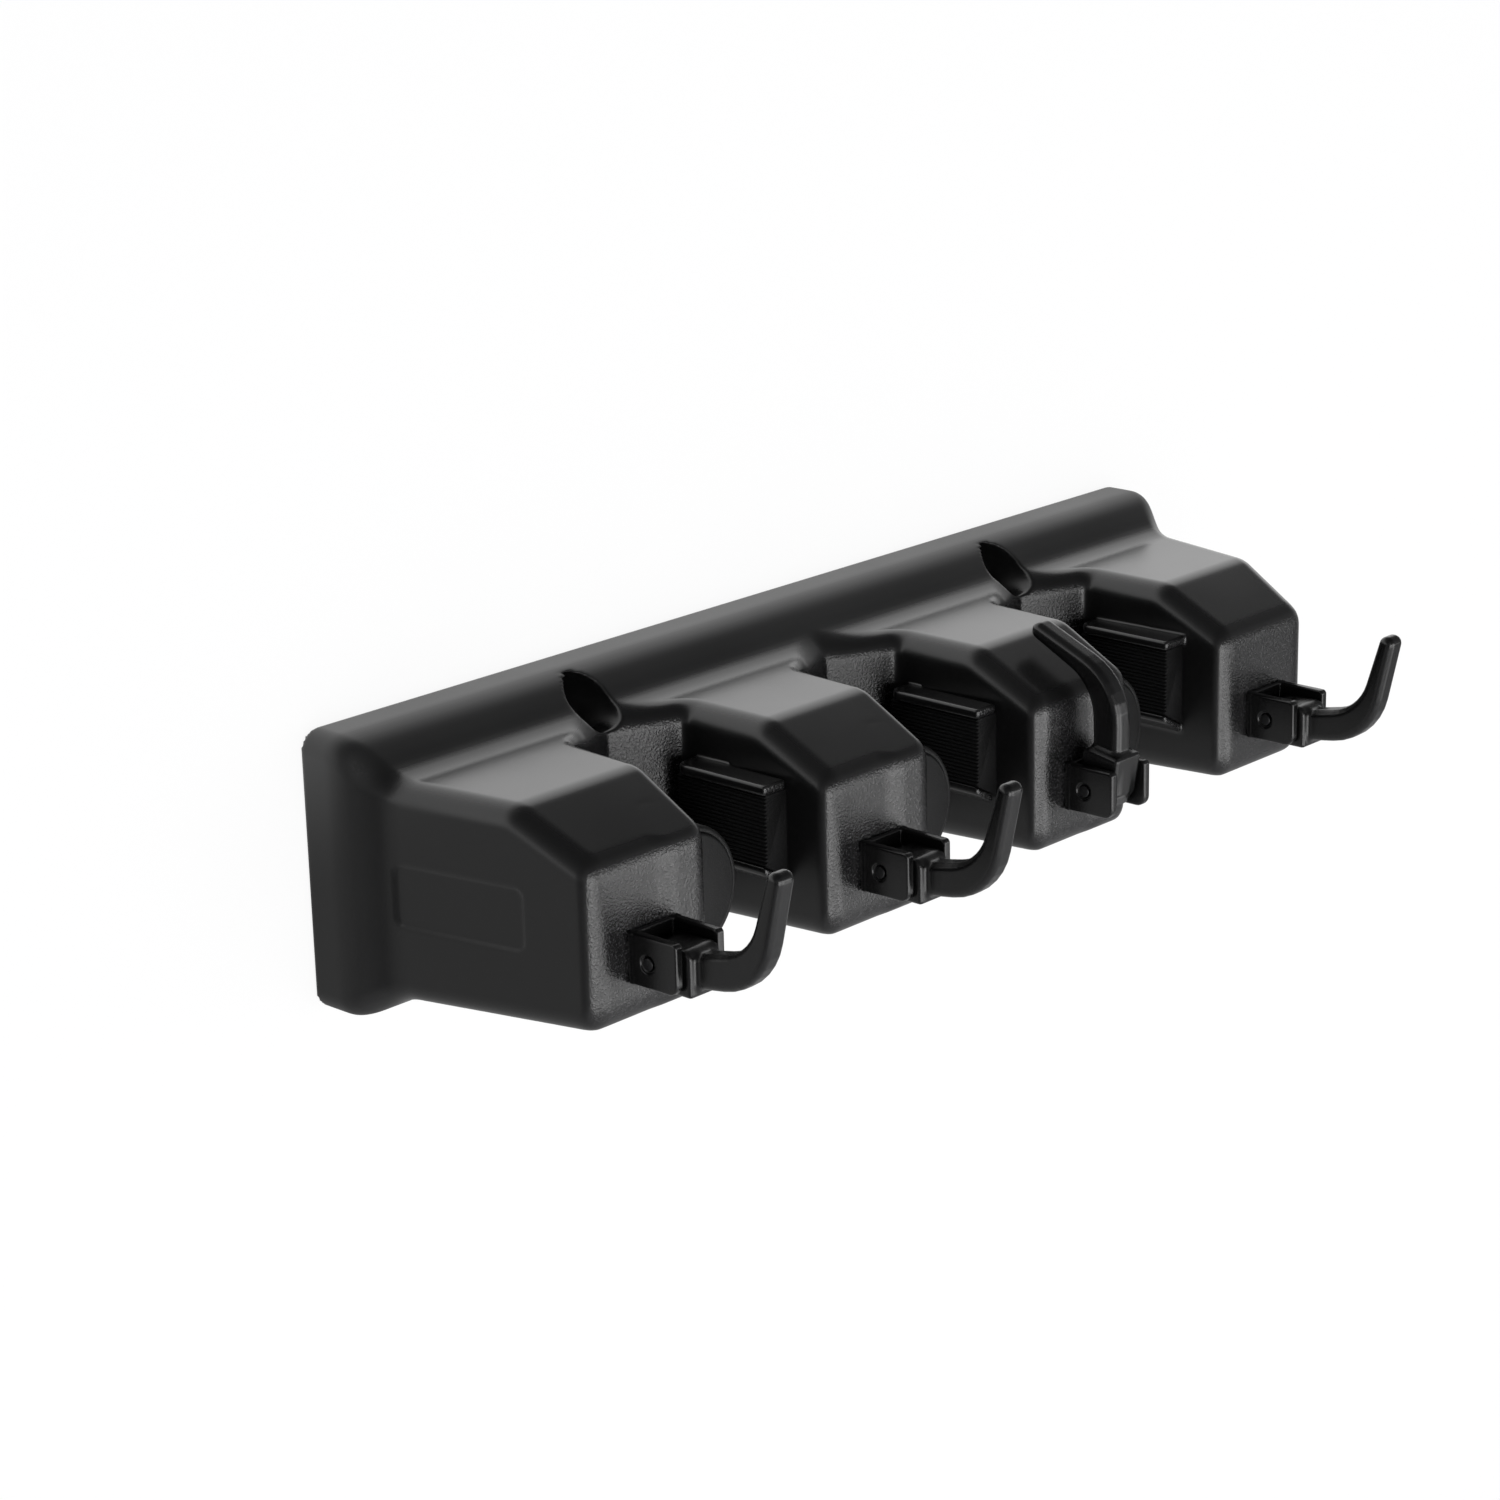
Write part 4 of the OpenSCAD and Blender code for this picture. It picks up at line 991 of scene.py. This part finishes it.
finishes = {
    "shell": shell_plastic, "hook_piece": hook_plastic, "bracket_piece": hook_plastic,
    "plate_piece": plate_plastic, "hub_piece": hub_plastic, "sleeve_piece": sleeve_rubber,
    "pad_piece": pad_rubber, "pin_piece": black_pin, "axle_piece": steel, "clip_piece": zinc,
    "screw_piece": zinc,
}
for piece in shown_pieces():
    kind = piece.name if piece.name in finishes else piece.name.rsplit("_", 1)[0]
    piece.data.materials.clear()
    piece.data.materials.append(finishes[kind])

# %% [markdown]
# The stage is a pale wall behind the rack and a pale floor below it, in metres. The wall shows to the
# camera and in reflections from its front side only, so views from behind look straight at the rack's open
# back. Most of its colour is its own glow, which gives the even white of a product photograph and leaves a
# soft shadow. For mirrored rays alone the glow is painted as a band, brightest just above the rack, weaker
# below it and high up, which is painted light for the reflections in the rack's tops. Behind the rack the
# wall has no glow, so the inside of the towers stays dark, and there it lets mirrored rays pass once a ray
# has come through it from behind. The floor glows for the camera alone.

# %% Wall and floor
WALL_Y, WALL_SIDE, WALL_TOP = 0.0006, 4, 3
FLOOR_Z, FLOOR_SIDE = -0.6, 12
COVER_X, COVER_Z = 0.137, 0.0295
WALL_GLOW, FLOOR_GLOW = 0.92, 0.85
WALL_TONE, WALL_LIGHT = (0.86, 0.86, 0.87), (1.0, 1.0, 1.0)
FLOOR_TONE, FLOOR_LIGHT = (0.78, 0.78, 0.79), (0.93, 0.93, 0.94)


def flat(name, corners, material):
    mesh = bpy.data.meshes.new(name)
    mesh.from_pydata(corners, [], [(0, 1, 2, 3)])
    plane = bpy.data.objects.new(name, mesh)
    bpy.context.scene.collection.objects.link(plane)
    plane.data.materials.append(material)
    return plane


def bare(name):
    """A material that has no shader yet, and its node tree."""
    material = bpy.data.materials.new(name)
    material.use_nodes = True
    tree = material.node_tree
    tree.nodes.remove(tree.nodes["Principled BSDF"])
    return material, tree


def coloured(tree, kind, colour):
    node = tree.nodes.new(kind)
    node.inputs["Color"].default_value = (*colour, 1.0)
    return node


def layered(tree, factor, under, over):
    """One shader over another, by a factor."""
    node = tree.nodes.new("ShaderNodeMixShader")
    tree.links.new(factor, node.inputs["Fac"])
    tree.links.new(under.outputs[0], node.inputs[1])
    tree.links.new(over.outputs[0], node.inputs[2])
    return node


paint, tree = bare("pale_wall")
path = tree.nodes.new("ShaderNodeLightPath").outputs
level = tree.nodes.new("ShaderNodeSeparateXYZ")
tree.links.new(tree.nodes.new("ShaderNodeTexCoord").outputs["Object"], level.inputs[0])
off_x = sums(tree, "SUBTRACT", sums(tree, "ABSOLUTE", level.outputs["X"], 0.0), COVER_X)
above = sums(tree, "ADD", level.outputs["Z"], SCREW_RISE * MM)
off_z = sums(tree, "SUBTRACT", sums(tree, "ABSOLUTE", above, 0.0), COVER_Z)
open_wall = sums(tree, "GREATER_THAN", sums(tree, "MAXIMUM", off_x, off_z), 0.0)
first_pass = sums(tree, "LESS_THAN", path["Transparent Depth"], 0.5)
mirror_wall = sums(tree, "MAXIMUM", open_wall, first_pass)
mirrored = sums(tree, "MULTIPLY", path["Is Glossy Ray"], mirror_wall)
direct = sums(tree, "MAXIMUM", path["Is Camera Ray"], path["Is Transmission Ray"])
seen = sums(tree, "MAXIMUM", direct, mirrored)
behind = tree.nodes.new("ShaderNodeNewGeometry").outputs["Backfacing"]
shown = sums(tree, "MULTIPLY", seen, sums(tree, "SUBTRACT", 1.0, behind))
# A painted band of glow that only mirrored rays see: brightest just above the rack, weaker below it and high
# up.
painted_reflection_band = sums(tree, "MULTIPLY", spread(tree, level.outputs["Z"], -0.03, 0.02, 0.5, 1.5),
            spread(tree, level.outputs["Z"], 0.05, 0.2, 1.0, 0.15))
painted_reflection_gain = sums(tree, "MULTIPLY", path["Is Glossy Ray"], sums(tree, "SUBTRACT", painted_reflection_band, 1.0))
glow = coloured(tree, "ShaderNodeEmission", WALL_LIGHT)
tree.links.new(sums(tree, "ADD", 1.0, painted_reflection_gain), glow.inputs["Strength"])
glow_share = sums(tree, "MULTIPLY", sums(tree, "MAXIMUM", path["Is Glossy Ray"], WALL_GLOW), open_wall)
coat = layered(tree, glow_share, coloured(tree, "ShaderNodeBsdfDiffuse", WALL_TONE), glow)
veil = layered(tree, shown, tree.nodes.new("ShaderNodeBsdfTransparent"), coat)
tree.links.new(veil.outputs[0], tree.nodes["Material Output"].inputs["Surface"])

ground, tree = bare("pale_floor")
in_view = tree.nodes.new("ShaderNodeLightPath").outputs["Is Camera Ray"]
shine = layered(tree, sums(tree, "MULTIPLY", in_view, FLOOR_GLOW),
                coloured(tree, "ShaderNodeBsdfDiffuse", FLOOR_TONE),
                coloured(tree, "ShaderNodeEmission", FLOOR_LIGHT))
tree.links.new(shine.outputs[0], tree.nodes["Material Output"].inputs["Surface"])

wall_corners = [(-WALL_SIDE, WALL_Y, FLOOR_Z), (WALL_SIDE, WALL_Y, FLOOR_Z), (WALL_SIDE, WALL_Y, WALL_TOP),
                (-WALL_SIDE, WALL_Y, WALL_TOP)]
floor_corners = [(-FLOOR_SIDE, -FLOOR_SIDE, FLOOR_Z), (FLOOR_SIDE, -FLOOR_SIDE, FLOOR_Z),
                 (FLOOR_SIDE, FLOOR_SIDE, FLOOR_Z), (-FLOOR_SIDE, FLOOR_SIDE, FLOOR_Z)]
wall = flat("stage_wall", wall_corners, paint)
floor = flat("stage_floor", floor_corners, ground)
print("stage:", wall.name, floor.name)

# %% [markdown]
# Black plastic shows its form mostly by what it mirrors, so the panels are placed where the rack's faces
# look: the rounded edges mirror two tall panels at the front, the tower fronts a small one low on the right
# and their upper edges a strip above it. A panel behind the wall lights the open back for views from that
# side. The air is pale near the horizon and dark overhead, as under a dark ceiling. Places and sizes are
# in metres here too, and the power of a panel is in watts.

# %% Light
TOWER_AIM = (-0.07, -0.07, -0.03)
AIR_STRENGTH = 0.55
AIR_LOW, AIR_LEVEL, AIR_HIGH = (0.6, 0.6, 0.61), (0.75, 0.75, 0.76), (0.2, 0.2, 0.205)
BACKDROP = (0.96, 0.96, 0.97)


def panel(name, place, aim, size, power):
    data = bpy.data.lights.new(name, "AREA")
    data.shape = "RECTANGLE"
    data.size, data.size_y = size
    data.energy = power
    lamp = bpy.data.objects.new(name, data)
    lamp.location = place
    lamp.rotation_euler = (Vector(aim) - Vector(place)).to_track_quat("-Z", "Y").to_euler()
    bpy.context.scene.collection.objects.link(lamp)
    return lamp


lamps = [
    panel("front_left_panel", (-0.45, -1.15, -0.2), (-0.05, -0.05, -0.03), size=(0.6, 0.76), power=7.5),
    panel("front_panel", (0.3, -1.2, -0.2), (0.0, -0.05, -0.03), size=(0.8, 0.76), power=6.5),
    panel("front_right_panel", (0.57, -0.8, -0.4), TOWER_AIM, size=(0.48, 0.34), power=0.85),
    panel("right_strip", (0.55, -0.8, -0.08), TOWER_AIM, size=(0.5, 0.12), power=0.85),
    panel("back_panel", (0.4, 1.3, 0.5), (0, 0, -0.02), size=(1.2, 1.2), power=16.0),
]
world = bpy.data.worlds.new("studio")
bpy.context.scene.world = world
world.use_nodes = True
tree = world.node_tree
heading = tree.nodes.new("ShaderNodeSeparateXYZ")
tree.links.new(tree.nodes.new("ShaderNodeTexCoord").outputs["Generated"], heading.inputs[0])
ramp = tree.nodes.new("ShaderNodeValToRGB")
ramp.color_ramp.elements[0].color = (*AIR_LOW, 1.0)
ramp.color_ramp.elements[1].color = (*AIR_HIGH, 1.0)
horizon = ramp.color_ramp.elements.new(0.5)
horizon.color = (*AIR_LEVEL, 1.0)
tree.links.new(spread(tree, heading.outputs["Z"], -1.0, 1.0), ramp.inputs["Fac"])
air = tree.nodes["Background"]
air.inputs["Strength"].default_value = AIR_STRENGTH
tree.links.new(ramp.outputs["Color"], air.inputs["Color"])
in_view = tree.nodes.new("ShaderNodeLightPath").outputs["Is Camera Ray"]
choice = layered(tree, in_view, air, coloured(tree, "ShaderNodeBackground", BACKDROP))
tree.links.new(choice.outputs[0], tree.nodes["World Output"].inputs["Surface"])
bpy.context.scene.view_settings.view_transform = "Standard"
print("lamps:", [lamp.name for lamp in lamps])
